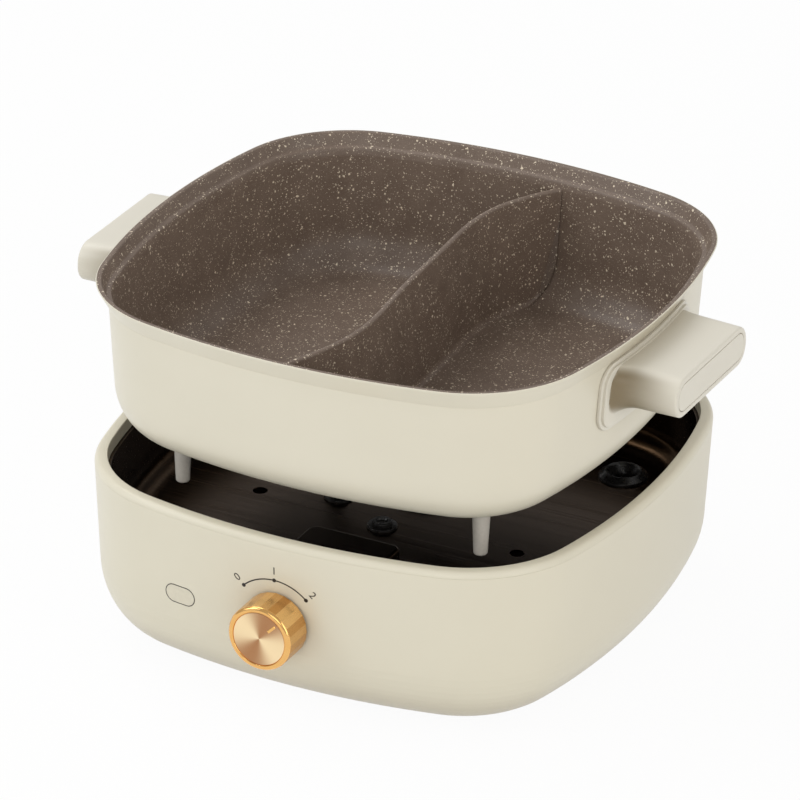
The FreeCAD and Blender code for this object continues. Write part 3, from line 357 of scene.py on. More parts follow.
class Shader:
    """A small helper that adds nodes to one material and links them."""

    def __init__(self, name):
        self.material = bpy.data.materials.new(name)
        self.material.use_nodes = True
        self.tree = self.material.node_tree
        self.surface = self.tree.nodes["Principled BSDF"]

    def add(self, kind, settings=None, **inputs):
        """A new node, its settings set and its named inputs fed."""
        node = self.tree.nodes.new(kind)
        for key, value in (settings or {}).items():
            setattr(node, key, value)
        for key, value in inputs.items():
            self.feed(node, key.replace("_", " "), value)
        return node

    def feed(self, node, socket, value):
        """Links an output to a socket, or sets the socket's own value."""
        target = node.inputs[int(socket)] if socket.isdigit() else node.inputs[socket]
        if isinstance(value, bpy.types.NodeSocket):
            self.tree.links.new(value, target)
        else:
            target.default_value = value

    def set(self, **inputs):
        """Feeds the surface's own inputs."""
        for key, value in inputs.items():
            self.feed(self.surface, key.replace("_", " "), value)

    def math(self, operation, a, b=0.0):
        node = self.tree.nodes.new("ShaderNodeMath")
        node.operation = operation
        self.feed(node, "0", a)
        self.feed(node, "1", b)
        return node.outputs[0]

    def ramp(self, value, low, high, to_low=0.0, to_high=1.0):
        """Eases from one amount to another while a value runs from low to high."""
        node = self.add("ShaderNodeMapRange", {"interpolation_type": "SMOOTHSTEP"})
        sockets = ("Value", "From Min", "From Max", "To Min", "To Max")
        for socket, amount in zip(sockets, (value, low, high, to_low, to_high)):
            self.feed(node, socket, amount)
        return node.outputs[0]

    def mix(self, factor, first, second):
        """Blends two colours. The colour sockets of a mix node are its inputs 6 and 7 and its output 2."""
        node = self.tree.nodes.new("ShaderNodeMix")
        node.data_type = "RGBA"
        self.feed(node, "0", factor)
        self.feed(node, "6", first)
        self.feed(node, "7", second)
        return node.outputs[2]

    def coordinates(self, scale=(1, 1, 1)):
        """Object coordinates, in metres, times a scale."""
        place_node = self.add("ShaderNodeTexCoord")
        mapping = self.add("ShaderNodeMapping", Vector=place_node.outputs["Object"], Scale=scale)
        return mapping.outputs[0]

    def noise(self, scale, detail, roughness=0.5, vector=None):
        vector = vector or self.coordinates()
        inputs = {"Vector": vector, "Scale": scale, "Detail": detail, "Roughness": roughness}
        return self.add("ShaderNodeTexNoise", **inputs).outputs[0]

    def bump(self, height, distance, strength):
        node = self.add("ShaderNodeBump", Height=height, Distance=distance, Strength=strength)
        return node.outputs[0]


def painted_crevice_shade(shader, colour, painted_shade_colour, reach, painted_shade_depth):
    """Painted shade: lets a colour darken towards a shade colour where other surfaces stand close."""
    near = shader.add("ShaderNodeAmbientOcclusion", {"samples": NEAR_SAMPLES}, Distance=reach)
    return shader.mix(shader.ramp(near.outputs["AO"], 0.35, 0.95, painted_shade_depth, 0.0), colour, painted_shade_colour)


def orange_peel(shader, gloss_low, gloss_high):
    """Fine relief and the faint change of roughness of a sprayed or satin surface."""
    shader.set(Roughness=shader.ramp(shader.noise(900.0, 2.0), 0.2, 0.8, gloss_low, gloss_high))
    shader.set(Normal=shader.bump(shader.noise(420.0, 2.0), PEEL_HEIGHT, 0.25))


def handle_satin_painted_shade(name, light, dark, painted_shade_colour, root_painted_shade):
    """Satin cream of the handles, with painted shade: it darkens in the hollow of the root, most on its
    front side, and in other hollows.
    """
    shader = Shader(name)
    colour = shader.mix(shader.ramp(shader.noise(12.0, 3.0), 0.3, 0.7), dark, light)
    near = shader.add("ShaderNodeAmbientOcclusion", {"samples": NEAR_SAMPLES}, Distance=HANDLE_PAINTED_SHADE_REACH)
    place_node = shader.add("ShaderNodeTexCoord")
    spot = shader.add("ShaderNodeSeparateXYZ", Vector=place_node.outputs["Object"])
    facing = shader.add("ShaderNodeSeparateXYZ", Vector=place_node.outputs["Normal"])
    # Painted shade: sides that face the front darken near the root, as if out of the light
    front = shader.ramp(facing.outputs["Y"], -0.8, -0.1, 1.0, 0.0)
    reach = shader.math("ABSOLUTE", spot.outputs["X"])
    start = side_reach(pot_wall_at(POT_RIM - ROOT_PAINTED_SHADE_UNDER_RIM))
    root = shader.ramp(reach, start + ROOT_PAINTED_SHADE_FADE[0], start + ROOT_PAINTED_SHADE_FADE[1], root_painted_shade, 0.0)
    # Painted shade in hollows, from how close other surfaces stand
    hollow = shader.ramp(near.outputs["AO"], 0.35, 0.93, 0.3, 0.0)
    painted_shade_depth = shader.math("MAXIMUM", shader.math("MULTIPLY", front, root), hollow)
    shader.set(Base_Color=shader.mix(painted_shade_depth, colour, painted_shade_colour))
    orange_peel(shader, 0.34, 0.42)
    return shader.material


def lacquer(name, light, dark, roughness, painted_shade_colour, painted_shade_depth):
    """Satin sprayed coat: a faint drift of colour, painted shade in hollows, and a fine orange-peel
    relief.
    """
    shader = Shader(name)
    drift = shader.noise(9.0, 3.0)
    colour = shader.mix(shader.ramp(drift, 0.3, 0.7), dark, light)
    shader.set(Base_Color=painted_crevice_shade(shader, colour, painted_shade_colour, PAINTED_SHADE_REACH, painted_shade_depth))
    orange_peel(shader, roughness - 0.03, roughness + 0.03)
    return shader.material


def granite():
    """Dark non-stick coating with pale flecks of three sizes."""
    shader = Shader("granite_coating")
    wobble = shader.add("ShaderNodeTexNoise", Vector=shader.coordinates(), Scale=900.0, Detail=1.0)
    shift = shader.add("ShaderNodeVectorMath", {"operation": "SCALE"}, Scale=FLECK_WOBBLE)
    shader.feed(shift, "0", wobble.outputs["Color"])
    bent = shader.add("ShaderNodeVectorMath", {"operation": "ADD"})
    shader.feed(bent, "0", shader.coordinates())
    shader.feed(bent, "1", shift.outputs[0])
    flecks = None
    for scale, reach, share in FLECKS:
        cells = shader.add("ShaderNodeTexVoronoi", Vector=bent.outputs[0], Scale=scale)
        chance = shader.add("ShaderNodeSeparateColor", Color=cells.outputs["Color"])
        size = shader.ramp(chance.outputs[0], share, 1.0, 0.0, reach)
        inside = shader.math("SUBTRACT", size, cells.outputs["Distance"])
        spot = shader.ramp(inside, 0.0, 0.04)
        flecks = spot if flecks is None else shader.math("MAXIMUM", flecks, spot)
    ground = shader.mix(shader.noise(60.0, 4.0, 0.6), (0.125, 0.086, 0.064, 1), (0.225, 0.168, 0.130, 1))
    grain = shader.ramp(shader.noise(1500.0, 2.0, 0.7), 0.52, 0.72, 0.0, 0.35)
    ground = shader.mix(grain, ground, (0.42, 0.33, 0.25, 1))
    shader.set(Base_Color=shader.mix(flecks, ground, (0.80, 0.69, 0.53, 1)))
    shader.set(Roughness=shader.ramp(flecks, 0.0, 1.0, 0.38, 0.48), Specular_IOR_Level=0.4)
    shader.set(Normal=shader.bump(shader.noise(700.0, 3.0), 0.05 * MM, 0.35))
    return shader.material


def brushed(name, light, dark, roughness, stretch, anisotropy=0.6):
    """Brushed sheet metal with fine streaks along one direction."""
    shader = Shader(name)
    streaks = shader.noise(1.0, 4.0, 0.7, shader.coordinates(stretch))
    shader.set(Base_Color=shader.mix(streaks, dark, light), Metallic=1.0, Anisotropic=anisotropy)
    shader.set(Roughness=shader.ramp(streaks, 0.3, 0.7, roughness - 0.06, roughness + 0.06))
    shader.set(Normal=shader.bump(streaks, 0.01 * MM, 0.4))
    return shader.material


def from_knob_axis(shader):
    """How far a point lies from the knob's axis, across and up."""
    place_node = shader.add("ShaderNodeTexCoord")
    apart = shader.add("ShaderNodeSeparateXYZ", Vector=place_node.outputs["Object"])
    return apart.outputs["X"], shader.math("SUBTRACT", apart.outputs["Z"], KNOB_Z)


def spun_metal():
    """Copper-gold disc, turned on a lathe: fine rings, and a painted fan of light and shade in its colour
    that turns with the knob.
    """
    shader = Shader("spun_gold")
    x, z = from_knob_axis(shader)
    squares = shader.math("ADD", shader.math("MULTIPLY", x, x), shader.math("MULTIPLY", z, z))
    radius = shader.math("SQRT", squares)
    angle = shader.math("ARCTAN2", z, x)
    one_way = {"noise_dimensions": "1D"}
    lines = shader.add("ShaderNodeTexNoise", one_way, W=radius, Scale=9000.0, Detail=2.0)
    # Painted highlight and shade: the colour swings twice round the disc between dark copper and pale gold
    twice = shader.math("ADD", shader.math("MULTIPLY", angle, 2.0), PAINTED_FAN_TURN)
    painted_fan = shader.ramp(shader.math("COSINE", twice), -1.1, 1.0)
    tone = shader.mix(painted_fan, (0.40, 0.175, 0.068, 1), (0.97, 0.76, 0.46, 1))
    glint = shader.ramp(lines.outputs[0], 0.3, 0.7, 0.0, 0.16)
    shader.set(Base_Color=shader.mix(glint, tone, (0.98, 0.80, 0.55, 1)))
    tangent = shader.add("ShaderNodeTangent", {"direction_type": "RADIAL", "axis": "Y"})
    shader.set(Metallic=1.0, Roughness=0.30, Anisotropic=0.8, Tangent=tangent.outputs[0])
    return shader.material


def anodised():
    """Flat-sided anodised metal: every flat takes its own tone, with a fine lengthwise grain."""
    shader = Shader("anodised_gold")
    x, z = from_knob_axis(shader)
    angle = shader.math("ARCTAN2", z, x)
    flat = shader.math("FLOOR", shader.math("MULTIPLY", angle, KNOB_FACETS / math.tau))
    chance = shader.add("ShaderNodeTexWhiteNoise", {"noise_dimensions": "1D"}, W=flat)
    tone = shader.mix(chance.outputs["Value"], (0.62, 0.32, 0.10, 1), (0.97, 0.63, 0.27, 1))
    grain = shader.noise(1.0, 3.0, 0.6, shader.coordinates((2500.0, 60.0, 2500.0)))
    glint = shader.ramp(grain, 0.35, 0.65, 0.0, 0.05)
    shader.set(Base_Color=shader.mix(glint, tone, (0.9, 0.62, 0.32, 1)))
    shader.set(Metallic=1.0, Roughness=shader.ramp(grain, 0.3, 0.7, 0.26, 0.275))
    return shader.material


def polished_gold():
    """Polished bevel and bar of the knob."""
    shader = Shader("polished_gold")
    cloud = shader.noise(160.0, 2.0)
    shader.set(Base_Color=shader.mix(cloud, (0.80, 0.43, 0.13, 1), (0.90, 0.54, 0.20, 1)), Metallic=1.0)
    shader.set(Roughness=shader.ramp(cloud, 0.3, 0.7, 0.12, 0.18))
    return shader.material


def moulded(name, colour, roughness, grain=500.0, relief=0.03 * MM):
    """Moulded plastic or rubber with a fine grain."""
    shader = Shader(name)
    deep = tuple(0.82 * c for c in colour[:3]) + (1,)
    texture = shader.noise(grain, 3.0)
    shader.set(Base_Color=shader.mix(texture, deep, colour))
    shader.set(Roughness=shader.ramp(texture, 0.3, 0.7, roughness - 0.05, roughness + 0.05))
    shader.set(Normal=shader.bump(texture, relief, 0.3))
    return shader.material


def printed():
    """Very dark brown screen-print ink."""
    shader = Shader("print_ink")
    worn = shader.noise(1200.0, 2.0)
    shader.set(Base_Color=shader.mix(worn, (0.012, 0.008, 0.006, 1), (0.022, 0.015, 0.011, 1)))
    shader.set(Roughness=0.5)
    return shader.material


def pot_shell():
    """Lacquered outside of the pot, up to the edge of the coating and down into its underside."""
    skirt = skirt_inside()
    floor_top = FLOOR_TOP - COAT_T
    inner_bottom = pot_wall_at(floor_top) - POT_WALL + COAT_T
    ledge_inner = -COAT_EDGE - LIP_FLARE - LEDGE_WIDTH + COAT_T
    return banded("pot_shell", [
        (skirt, POT_BOTTOM + RECESS),
        (skirt, POT_BOTTOM, 0.5 * MM),
        (pot_wall_at(POT_BOTTOM), POT_BOTTOM, POT_CORNER_RUN, POT_CORNER_RISE),
        (pot_wall_at(WALL_TOP), WALL_TOP, 0.15 * MM),
        (pot_wall_at(WALL_TOP) + LIP_STEP, WALL_TOP + 0.3 * MM, 0.2 * MM),
        (LIP_FLARE, POT_RIM, 0.7 * MM),
        (COAT_OUTER, POT_RIM - 0.02 * MM),
        (COAT_OUTER - 0.1 * MM, POT_RIM - COAT_T),
        (-COAT_EDGE + COAT_T, POT_RIM - COAT_T, 0.3 * MM),
        (-COAT_EDGE - LIP_FLARE + COAT_T, LEDGE_Z + 0.6 * MM, 0.2 * MM),
        (ledge_inner + 0.5 * MM, LEDGE_Z, 0.2 * MM),
        (ledge_inner, LEDGE_Z - 1.0 * MM, 0.4 * MM),
        (pot_wall_at(WALL_TOP) - POT_WALL + COAT_T, WALL_TOP, 0.8 * MM),
        (inner_bottom, floor_top, INNER_RISE, INNER_RUN),
        (skirt - FLOOR_OVERLAP, floor_top),
    ])


def pot_coating():
    """Speckled non-stick coat on the inside of the pot, over its ledge and onto the rim."""
    floor_end = skirt_inside() - FLOOR_OVERLAP
    inner_bottom = pot_wall_at(FLOOR_TOP) - POT_WALL
    ledge_inner = -COAT_EDGE - LIP_FLARE - LEDGE_WIDTH

    def layer(sink):
        return [
            (-COAT_EDGE + sink, POT_RIM - sink, 0.6 * MM),
            (-COAT_EDGE - LIP_FLARE + sink, LEDGE_Z + 0.6 * MM, 0.2 * MM),
            (ledge_inner + 0.5 * MM + sink, LEDGE_Z, 0.2 * MM),
            (ledge_inner + sink, LEDGE_Z - 1.0 * MM, 0.4 * MM),
            (pot_wall_at(WALL_TOP) - POT_WALL + sink, WALL_TOP, 0.8 * MM),
        ]

    return banded("pot_coating", [
        (floor_end, FLOOR_TOP),
        (inner_bottom, FLOOR_TOP, INNER_RUN, INNER_RISE),
        *reversed(layer(0.0)),
        (COAT_OUTER, POT_RIM, 0.1 * MM),
        (COAT_OUTER, POT_RIM - COAT_SINK),
        *layer(COAT_SINK),
        (inner_bottom + COAT_SINK, FLOOR_TOP - COAT_SINK, INNER_RISE, INNER_RUN),
        (floor_end, FLOOR_TOP - COAT_SINK),
    ])


def divider_plan():
    """Plan points of the divider's S-shaped line as (y, x), from front to rear."""
    front = side_reach(pot_wall_at(POT_RIM - DIVIDER_TOP)) + DIVIDER_OVERRUN
    return [
        (-front, -DIVIDER_BEND * 2.4),
        (-0.52 * RIM_HALF, DIVIDER_BEND * 0.95),
        (-0.12 * RIM_HALF, DIVIDER_BEND * 0.5),
        (0.3 * RIM_HALF, 0.0),
        (0.73 * RIM_HALF, DIVIDER_BEND * 0.5),
        (front, DIVIDER_SWING + 3.0 * MM),
    ]


def cubic_through(points, at):
    """Value and slope of the natural cubic curve through (place, value) points."""
    places = [p[0] for p in points]
    values = [p[1] for p in points]
    count = len(points)
    gaps = [places[i + 1] - places[i] for i in range(count - 1)]
    rises = [(values[i + 1] - values[i]) / gaps[i] for i in range(count - 1)]
    bends = [0.0] * count
    upper, right = [0.0] * count, [0.0] * count
    for i in range(1, count - 1):
        pivot = 2 * (gaps[i - 1] + gaps[i]) - gaps[i - 1] * upper[i - 1]
        upper[i] = gaps[i] / pivot
        right[i] = (6 * (rises[i] - rises[i - 1]) - gaps[i - 1] * right[i - 1]) / pivot
    for i in range(count - 2, 0, -1):
        bends[i] = right[i] - upper[i] * bends[i + 1]
    i = max(j for j in range(count - 1) if j == 0 or at >= places[j])
    before, after = places[i + 1] - at, at - places[i]
    value = (bends[i] * before ** 3 + bends[i + 1] * after ** 3) / (6 * gaps[i])
    value += (values[i] / gaps[i] - bends[i] * gaps[i] / 6) * before
    value += (values[i + 1] / gaps[i] - bends[i + 1] * gaps[i] / 6) * after
    slope = (bends[i + 1] * after ** 2 - bends[i] * before ** 2) / (2 * gaps[i])
    slope += rises[i] - (bends[i + 1] - bends[i]) * gaps[i] / 6
    return value, slope


def inner_wall_at(z):
    """Offset of the pot's inner wall, its rounded bottom corner included."""
    short = max(0.0, 1 - (z - FLOOR_TOP) / INNER_RISE)
    return pot_wall_at(z) - POT_WALL - INNER_RUN * (1 - math.sqrt(1 - min(1.0, short) ** 2))


def divider_section(height):
    """Half of the divider's upright section as (thickness from the middle, height), from foot to top."""
    section = []
    for step in range(7):
        angle = math.pi / 2 * step / 6
        out = DIVIDER_HALF_FOOT + DIVIDER_FILLET * (1 - math.sin(angle))
        section.append((out, DIVIDER_FILLET * (1 - math.cos(angle)) - DIVIDER_SINK))
    for share in (0.12, 0.3, 0.5, 0.7, 0.9):
        out = DIVIDER_HALF_FOOT + (DIVIDER_HALF_TOP - DIVIDER_HALF_FOOT) * share
        section.append((out, height * share + DIVIDER_FILLET * (1 - share)))
    for step in range(7):
        angle = math.pi / 2 * step / 7
        up = height - DIVIDER_HALF_TOP + DIVIDER_HALF_TOP * math.sin(angle)
        section.append((DIVIDER_HALF_TOP * math.cos(angle), up))
    return section


def divider():
    """S-shaped wall with a rounded top, drafted sides and hollow fillets, ending in the pot's walls."""
    height = POT_RIM - DIVIDER_TOP - FLOOR_TOP
    half = divider_section(height)
    ring = half + [(0.0, height)] + [(-u, v) for u, v in reversed(half)]
    plan = divider_plan()
    vertices = []
    for station in range(DIVIDER_STATIONS + 1):
        share = math.sin(math.pi / 2 * (2 * station / DIVIDER_STATIONS - 1))
        for u, v in ring:
            reach = side_reach(inner_wall_at(FLOOR_TOP + max(0.0, v))) + DIVIDER_EMBED
            y = share * reach
            flare = DIVIDER_FLARE * math.exp(-(reach - abs(y)) / DIVIDER_FLARE_REACH)
            spread = u + math.copysign(flare, u) if u else 0.0
            x, slope = cubic_through(plan, y)
            stretch = 1 / math.sqrt(1 + slope ** 2)
            side_y = max(-reach, min(reach, y - spread * slope * stretch))
            vertices.append((x + spread * stretch, side_y + AXIS_Y, FLOOR_TOP + v))
    count = len(ring)
    faces = []
    for row in range(DIVIDER_STATIONS):
        low, high = row * count, (row + 1) * count
        for i in range(count):
            j = (i + 1) % count
            faces.append((low + i, high + i, high + j, low + j))
    last = DIVIDER_STATIONS * count
    faces.append(tuple(range(count)))
    faces.append(tuple(reversed(range(last, last + count))))
    return new_object("pot_divider_wall", vertices, faces, 50)


def casing_shell():
    """Base moulding with its large round bottom edge."""
    bottom = casing_wall_at(CASING_BOTTOM)
    run_end = bottom - BASE_CORNER_RUN
    floor_top = CASING_BOTTOM + BASE_FLOOR
    rebate, edge = run_end - 6.0 * MM, run_end - 12.0 * MM
    cover_top = CASING_BOTTOM + 1.8 * MM
    ledge_z = PAN_FLANGE_TOP - 1.2 * MM
    inner = casing_wall_at(PARTING) - BASE_WALL
    return banded("base_shell", [
        (casing_wall_at(PARTING), PARTING, 0.35 * MM),
        (bottom, CASING_BOTTOM, BASE_CORNER_RISE, BASE_CORNER_RUN),
        (rebate, CASING_BOTTOM, 0.3 * MM),
        (rebate, cover_top),
        (edge, cover_top),
        (edge, floor_top),
        (bottom - BASE_WALL, floor_top, BASE_CORNER_RUN - BASE_WALL, BASE_CORNER_RISE - BASE_WALL),
        (casing_wall_at(ledge_z - 8.0 * MM) - BASE_WALL, ledge_z - 8.0 * MM),
        (inner - 2.8 * MM, ledge_z - 4.0 * MM),
        (inner - 2.8 * MM, ledge_z),
        (inner, ledge_z),
        (inner, PARTING),
    ], closed=True)


def rim_trim():
    """Trim ring of the base with its sloping rounded top."""
    skirt_outer = casing_wall_at(PARTING) - BASE_WALL - 0.3 * MM
    return banded("base_rim_trim", [
        (CASING_OFFSET, PARTING + 0.02 * MM, 0.2 * MM),
        (CASING_OFFSET - 0.2 * MM, PARTING + 1.0 * MM, 0.6 * MM),
        (CASING_OFFSET - 1.6 * MM, BASE_RIM - 0.3 * MM, 1.6 * MM),
        (WELL_OFFSET, BASE_RIM, 0.6 * MM),
        (WELL_OFFSET - 0.4 * MM, PAN_FLANGE_TOP, 0.5 * MM),
        (skirt_outer, PAN_FLANGE_TOP),
        (skirt_outer, PARTING),
    ], closed=True)


def on_front_wall(x, z, lift):
    """A point on the front wall of the base, lifted off it."""
    return (x, AXIS_Y - side_reach(casing_wall_at(z) + lift, x), z)


def wall_print(name, loops, faces, lift=PRINT_LIFT):
    """A thin mark that lies on the front wall, closed behind. loops are (x, z) points."""
    count = len(loops)
    vertices = [on_front_wall(x, z, lift) for x, z in loops]
    vertices += [on_front_wall(x, z, -PRINT_SINK) for x, z in loops]
    solid = [tuple(face) for face in faces]
    solid += [tuple(count + i for i in reversed(face)) for face in faces]
    edges = [edge for face in faces for edge in zip(face, face[1:] + face[:1])]
    known = set(edges)
    for a, b in edges:
        if (b, a) not in known:
            solid.append((b, a, count + a, count + b))
    return new_object(name, vertices, solid)


def strip(centre_line, width, closed=False):
    """Points and faces of a strip of even width along a line of (x, z) points."""
    points, faces = [], []
    count = len(centre_line)
    for i, (x, z) in enumerate(centre_line):
        before = centre_line[i - 1] if closed or i else centre_line[i]
        after = centre_line[(i + 1) % count] if closed or i < count - 1 else centre_line[i]
        along = Vector((after[0] - before[0], after[1] - before[1])).normalized()
        points.append((x + along.y * width / 2, z - along.x * width / 2))
        points.append((x - along.y * width / 2, z + along.x * width / 2))
    for i in range(count if closed else count - 1):
        j = (i + 1) % count
        faces.append([2 * i, 2 * j, 2 * j + 1, 2 * i + 1])
    return points, faces


def on_dial(radius, angle):
    """A point on the front wall at a radius from the dial's middle, the angle taken from upright."""
    return DIAL_X + radius * math.sin(angle), DIAL_Z + radius * math.cos(angle)


def dot_outline(x, z):
    """Once round a dial dot."""
    points = []
    for step in range(DOT_POINTS):
        angle = math.tau * step / DOT_POINTS
        points.append((x + DOT_R * math.cos(angle), z + DOT_R * math.sin(angle)))
    return points


def figure_mesh(figure):
    """Flat mesh of one figure, centred on its own origin."""
    text = bpy.data.curves.new("figure_" + figure, "FONT")
    text.body = figure
    text.size = FIGURE_SIZE
    text.align_x = "CENTER"
    text.align_y = "CENTER"
    text.resolution_u = 6
    holder = bpy.data.objects.new("figure_" + figure, text)
    bpy.context.scene.collection.objects.link(holder)
    bpy.context.view_layer.update()
    flat = bpy.data.meshes.new_from_object(holder.evaluated_get(bpy.context.evaluated_depsgraph_get()))
    bpy.data.objects.remove(holder)
    return flat


def dial_marks(ink):
    """Printed arc with three dots round the knob, and plain figures beside them."""
    line = []
    for step in range(DIAL_STEPS + 1):
        line.append(on_dial(DIAL_R, -DIAL_SWEEP + 2 * DIAL_SWEEP * step / DIAL_STEPS))
    marks = [wall_print("dial_arc", *strip(line, DIAL_LINE))]
    for index, figure in enumerate("012"):
        angle = -DIAL_SWEEP + DIAL_SWEEP * index
        rim = dot_outline(*on_dial(DIAL_R, angle))
        marks.append(wall_print("dial_dot_" + figure, rim, [list(range(DOT_POINTS))]))
        flat = figure_mesh(figure)
        x, z = on_dial(LABEL_R, angle)
        c, s = math.cos(-angle), math.sin(-angle)
        loops = [(x + v.co.x * c - v.co.y * s, z + v.co.x * s + v.co.y * c) for v in flat.vertices]
        faces = [list(p.vertices) for p in flat.polygons]
        marks.append(wall_print("dial_figure_" + figure, loops, faces))
    for mark in marks:
        place(mark, "base", "knob_mark", ink)


def oval(half_w, half_h):
    """Once round an oval with straight sides and half-round ends."""
    points = []
    straight = half_w - half_h
    for side in (1, -1):
        for step in range(OVAL_STEPS + 1):
            angle = math.pi * step / OVAL_STEPS - math.pi / 2
            points.append((side * (straight + half_h * math.cos(angle)), side * half_h * math.sin(angle)))
    return points


def window_marks(ink, lens_material):
    """Lamp window as a lens flush with the wall, and the printed line round it."""
    low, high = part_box("lamp_window")
    x, z = (low.x + high.x) / 2, (low.z + high.z) / 2
    half_w, half_h = WINDOW_HALF
    points, faces = [], []
    for column in range(WINDOW_COLUMNS + 1):
        u = -half_w * math.cos(math.pi * column / WINDOW_COLUMNS)
        past = max(0.0, abs(u) - (half_w - half_h))
        reach = max(0.05 * MM, math.sqrt(max(0.0, half_h ** 2 - past ** 2)))
        points += [(x + u, z - reach), (x + u, z + reach)]
        if column:
            faces.append([2 * column - 2, 2 * column, 2 * column + 1, 2 * column - 1])
    lens = wall_print("lamp_window_lens", points, faces)
    place(lens, "base", "window_plastic", lens_material, "lamp_window")
    ring_line = [(x + u, z + v) for u, v in oval(*BORDER_HALF)]
    ring = strip(ring_line, BORDER_LINE, closed=True)
    border = wall_print("lamp_window_border", *ring, lift=2 * PRINT_LIFT)
    place(border, "base", "knob_mark", ink)


def rounded_box(half_u, half_v, radius):
    """Once round a rounded rectangle, with points along its straights so that it can follow a curve."""
    radius = max(0.2 * MM, min(radius, half_u, half_v))
    corners = ((1, 1), (-1, 1), (-1, -1), (1, -1))

    def on_corner(quarter, turns):
        su, sv = corners[quarter % 4]
        angle = math.pi / 2 * turns
        across = su * (half_u - radius) + radius * math.cos(angle)
        return across, sv * (half_v - radius) + radius * math.sin(angle)

    points = []
    for quarter in range(4):
        for step in range(BOX_ARC_STEPS + 1):
            points.append(on_corner(quarter, quarter + step / BOX_ARC_STEPS))
        last_u, last_v = points[-1]
        ahead_u, ahead_v = on_corner(quarter + 1, quarter + 1)
        for step in range(1, BOX_STRAIGHT_STEPS):
            share = step / BOX_STRAIGHT_STEPS
            points.append((last_u + (ahead_u - last_u) * share, last_v + (ahead_v - last_v) * share))
    return points


def handle_piece(name, rings, side):
    """A handle piece from rings of (reach, across, z) points, on the left (-1) or the right (1)."""
    turned = [[(side * x, AXIS_Y + side * y, z) for x, y, z in ring] for ring in rings]
    return skinned(name, turned, smooth_angle=40)


def handle_plate(name, side):
    """Stepped plate of a handle, wrapped round the pot's wall."""
    mid, half = (HANDLE_TOP + HANDLE_LOW) / 2, (HANDLE_TOP - HANDLE_LOW) / 2
    rings = []
    for inset, lift in PLATE_BACK + PLATE_EDGE + PLATE_FACE:
        inset, lift = inset * MM, HANDLE_SEAT + lift * MM
        ring = rounded_box(HANDLE_HALF - inset, half - inset, HANDLE_R - inset)
        rings.append([(side_reach(pot_wall_at(mid + v) + lift, u), u, mid + v) for u, v in ring])
    return handle_piece(name, rings, side)


def grip_ring(x, blend, inset=0.0):
    """Outline of a grip at a reach x. blend runs from 1 at the plate to 0 where it is slim."""
    plate_half = HANDLE_HALF - PLATE_STEP - 1.2 * MM
    plate_top = HANDLE_TOP - PLATE_STEP - 1.0 * MM
    plate_low = HANDLE_LOW + PLATE_STEP + 1.2 * MM
    start = side_reach(pot_wall_at(plate_low))
    slim_top = GRIP_TOP - GRIP_DROP * max(0.0, x - start) / (GRIP_REACH - start)
    top = slim_top + (plate_top - slim_top) * blend
    low = GRIP_LOW + (plate_low - GRIP_LOW) * blend
    half = GRIP_HALF + (plate_half - GRIP_HALF) * blend - inset
    mid, half_z = (top + low) / 2, (top - low) / 2 - inset
    ring = []
    for u, v in rounded_box(half, half_z, min(GRIP_CORNER_R - inset, half_z - 0.2 * MM)):
        face = side_reach(pot_wall_at(mid + v) + HANDLE_SEAT + PLATE_T, u) - 0.06 * MM
        ring.append((max(x, face), u, mid + v))
    return ring


def handle_grip(name, side):
    """Grip of a handle: a broad root that sweeps into a slim bar, and a pocket for its end cap."""
    start = side_reach(pot_wall_at(HANDLE_LOW) + HANDLE_SEAT + PLATE_T, HANDLE_HALF)
    end = GRIP_REACH - GRIP_EDGE_R
    rings = [grip_ring(start, 1.0)]
    for step in range(1, GRIP_BLEND_STEPS + 1):
        angle = math.pi / 2 * step / GRIP_BLEND_STEPS
        rings.append(grip_ring(start + GRIP_BLEND * (1 - math.cos(angle)), 1 - math.sin(angle)))
    for share in (0.1, 0.5, 0.9):
        rings.append(grip_ring(start + GRIP_BLEND + (end - start - GRIP_BLEND) * share, 0.0))
    for step in range(GRIP_EDGE_STEPS + 1):
        angle = math.pi / 2 * step / GRIP_EDGE_STEPS
        inset = GRIP_EDGE_R * (1 - math.cos(angle))
        rings.append(grip_ring(end + GRIP_EDGE_R * math.sin(angle), 0.0, inset))
    rings.append(grip_ring(GRIP_REACH, 0.0, END_INSET - END_CHAMFER))
    rings.append(grip_ring(GRIP_REACH - END_CHAMFER, 0.0, END_INSET))
    rings.append(grip_ring(GRIP_REACH - END_CAP_T, 0.0, END_INSET))
    return handle_piece(name, rings, side)


def knob_ring(radius, back, count=KNOB_ROUND_POINTS):
    """Points of a ring on the knob, a distance behind its front."""
    ring = []
    for i in range(count):
        angle = math.tau * i / count
        ring.append((radius * math.cos(angle), KNOB_LOW.y + back, KNOB_Z + radius * math.sin(angle)))
    return ring


def knob_grip():
    """Flat-sided body of the knob."""
    around = KNOB_R / math.cos(math.pi / KNOB_FACETS)
    length = KNOB_HIGH.y - KNOB_LOW.y
    profile = [
        (around - 0.5 * MM, length),
        (around, length - 0.5 * MM),
        (around, KNOB_BEVEL),
        (around - 1.2 * MM, KNOB_BEVEL - 0.2 * MM),
    ]
    return skinned("knob_grip", [knob_ring(r, back, KNOB_FACETS) for r, back in profile], smooth_angle=8)


def knob_bevel():
    """Polished bevel round the knob's front, with a shallow groove inside it."""
    profile = [
        (FACE_R - 1.0 * MM, KNOB_BEVEL + 0.8 * MM),
        (KNOB_R - 0.6 * MM, KNOB_BEVEL + 0.8 * MM),
        (KNOB_R - 0.02 * MM, KNOB_BEVEL),
        (KNOB_R - 0.12 * MM, KNOB_BEVEL - 0.35 * MM),
        (KNOB_R - 0.75 * MM, 0.5 * MM),
        (KNOB_R - 1.45 * MM, 0.1 * MM),
        (KNOB_R - 2.0 * MM, 0.0),
        (FACE_R + 0.75 * MM, 0.0),
        (FACE_R + 0.45 * MM, 0.15 * MM),
        (FACE_R + 0.1 * MM, 0.75 * MM),
        (FACE_R - 1.0 * MM, 0.8 * MM),
    ]
    return skinned("knob_bevel", [knob_ring(r, back) for r, back in profile], smooth_angle=24)


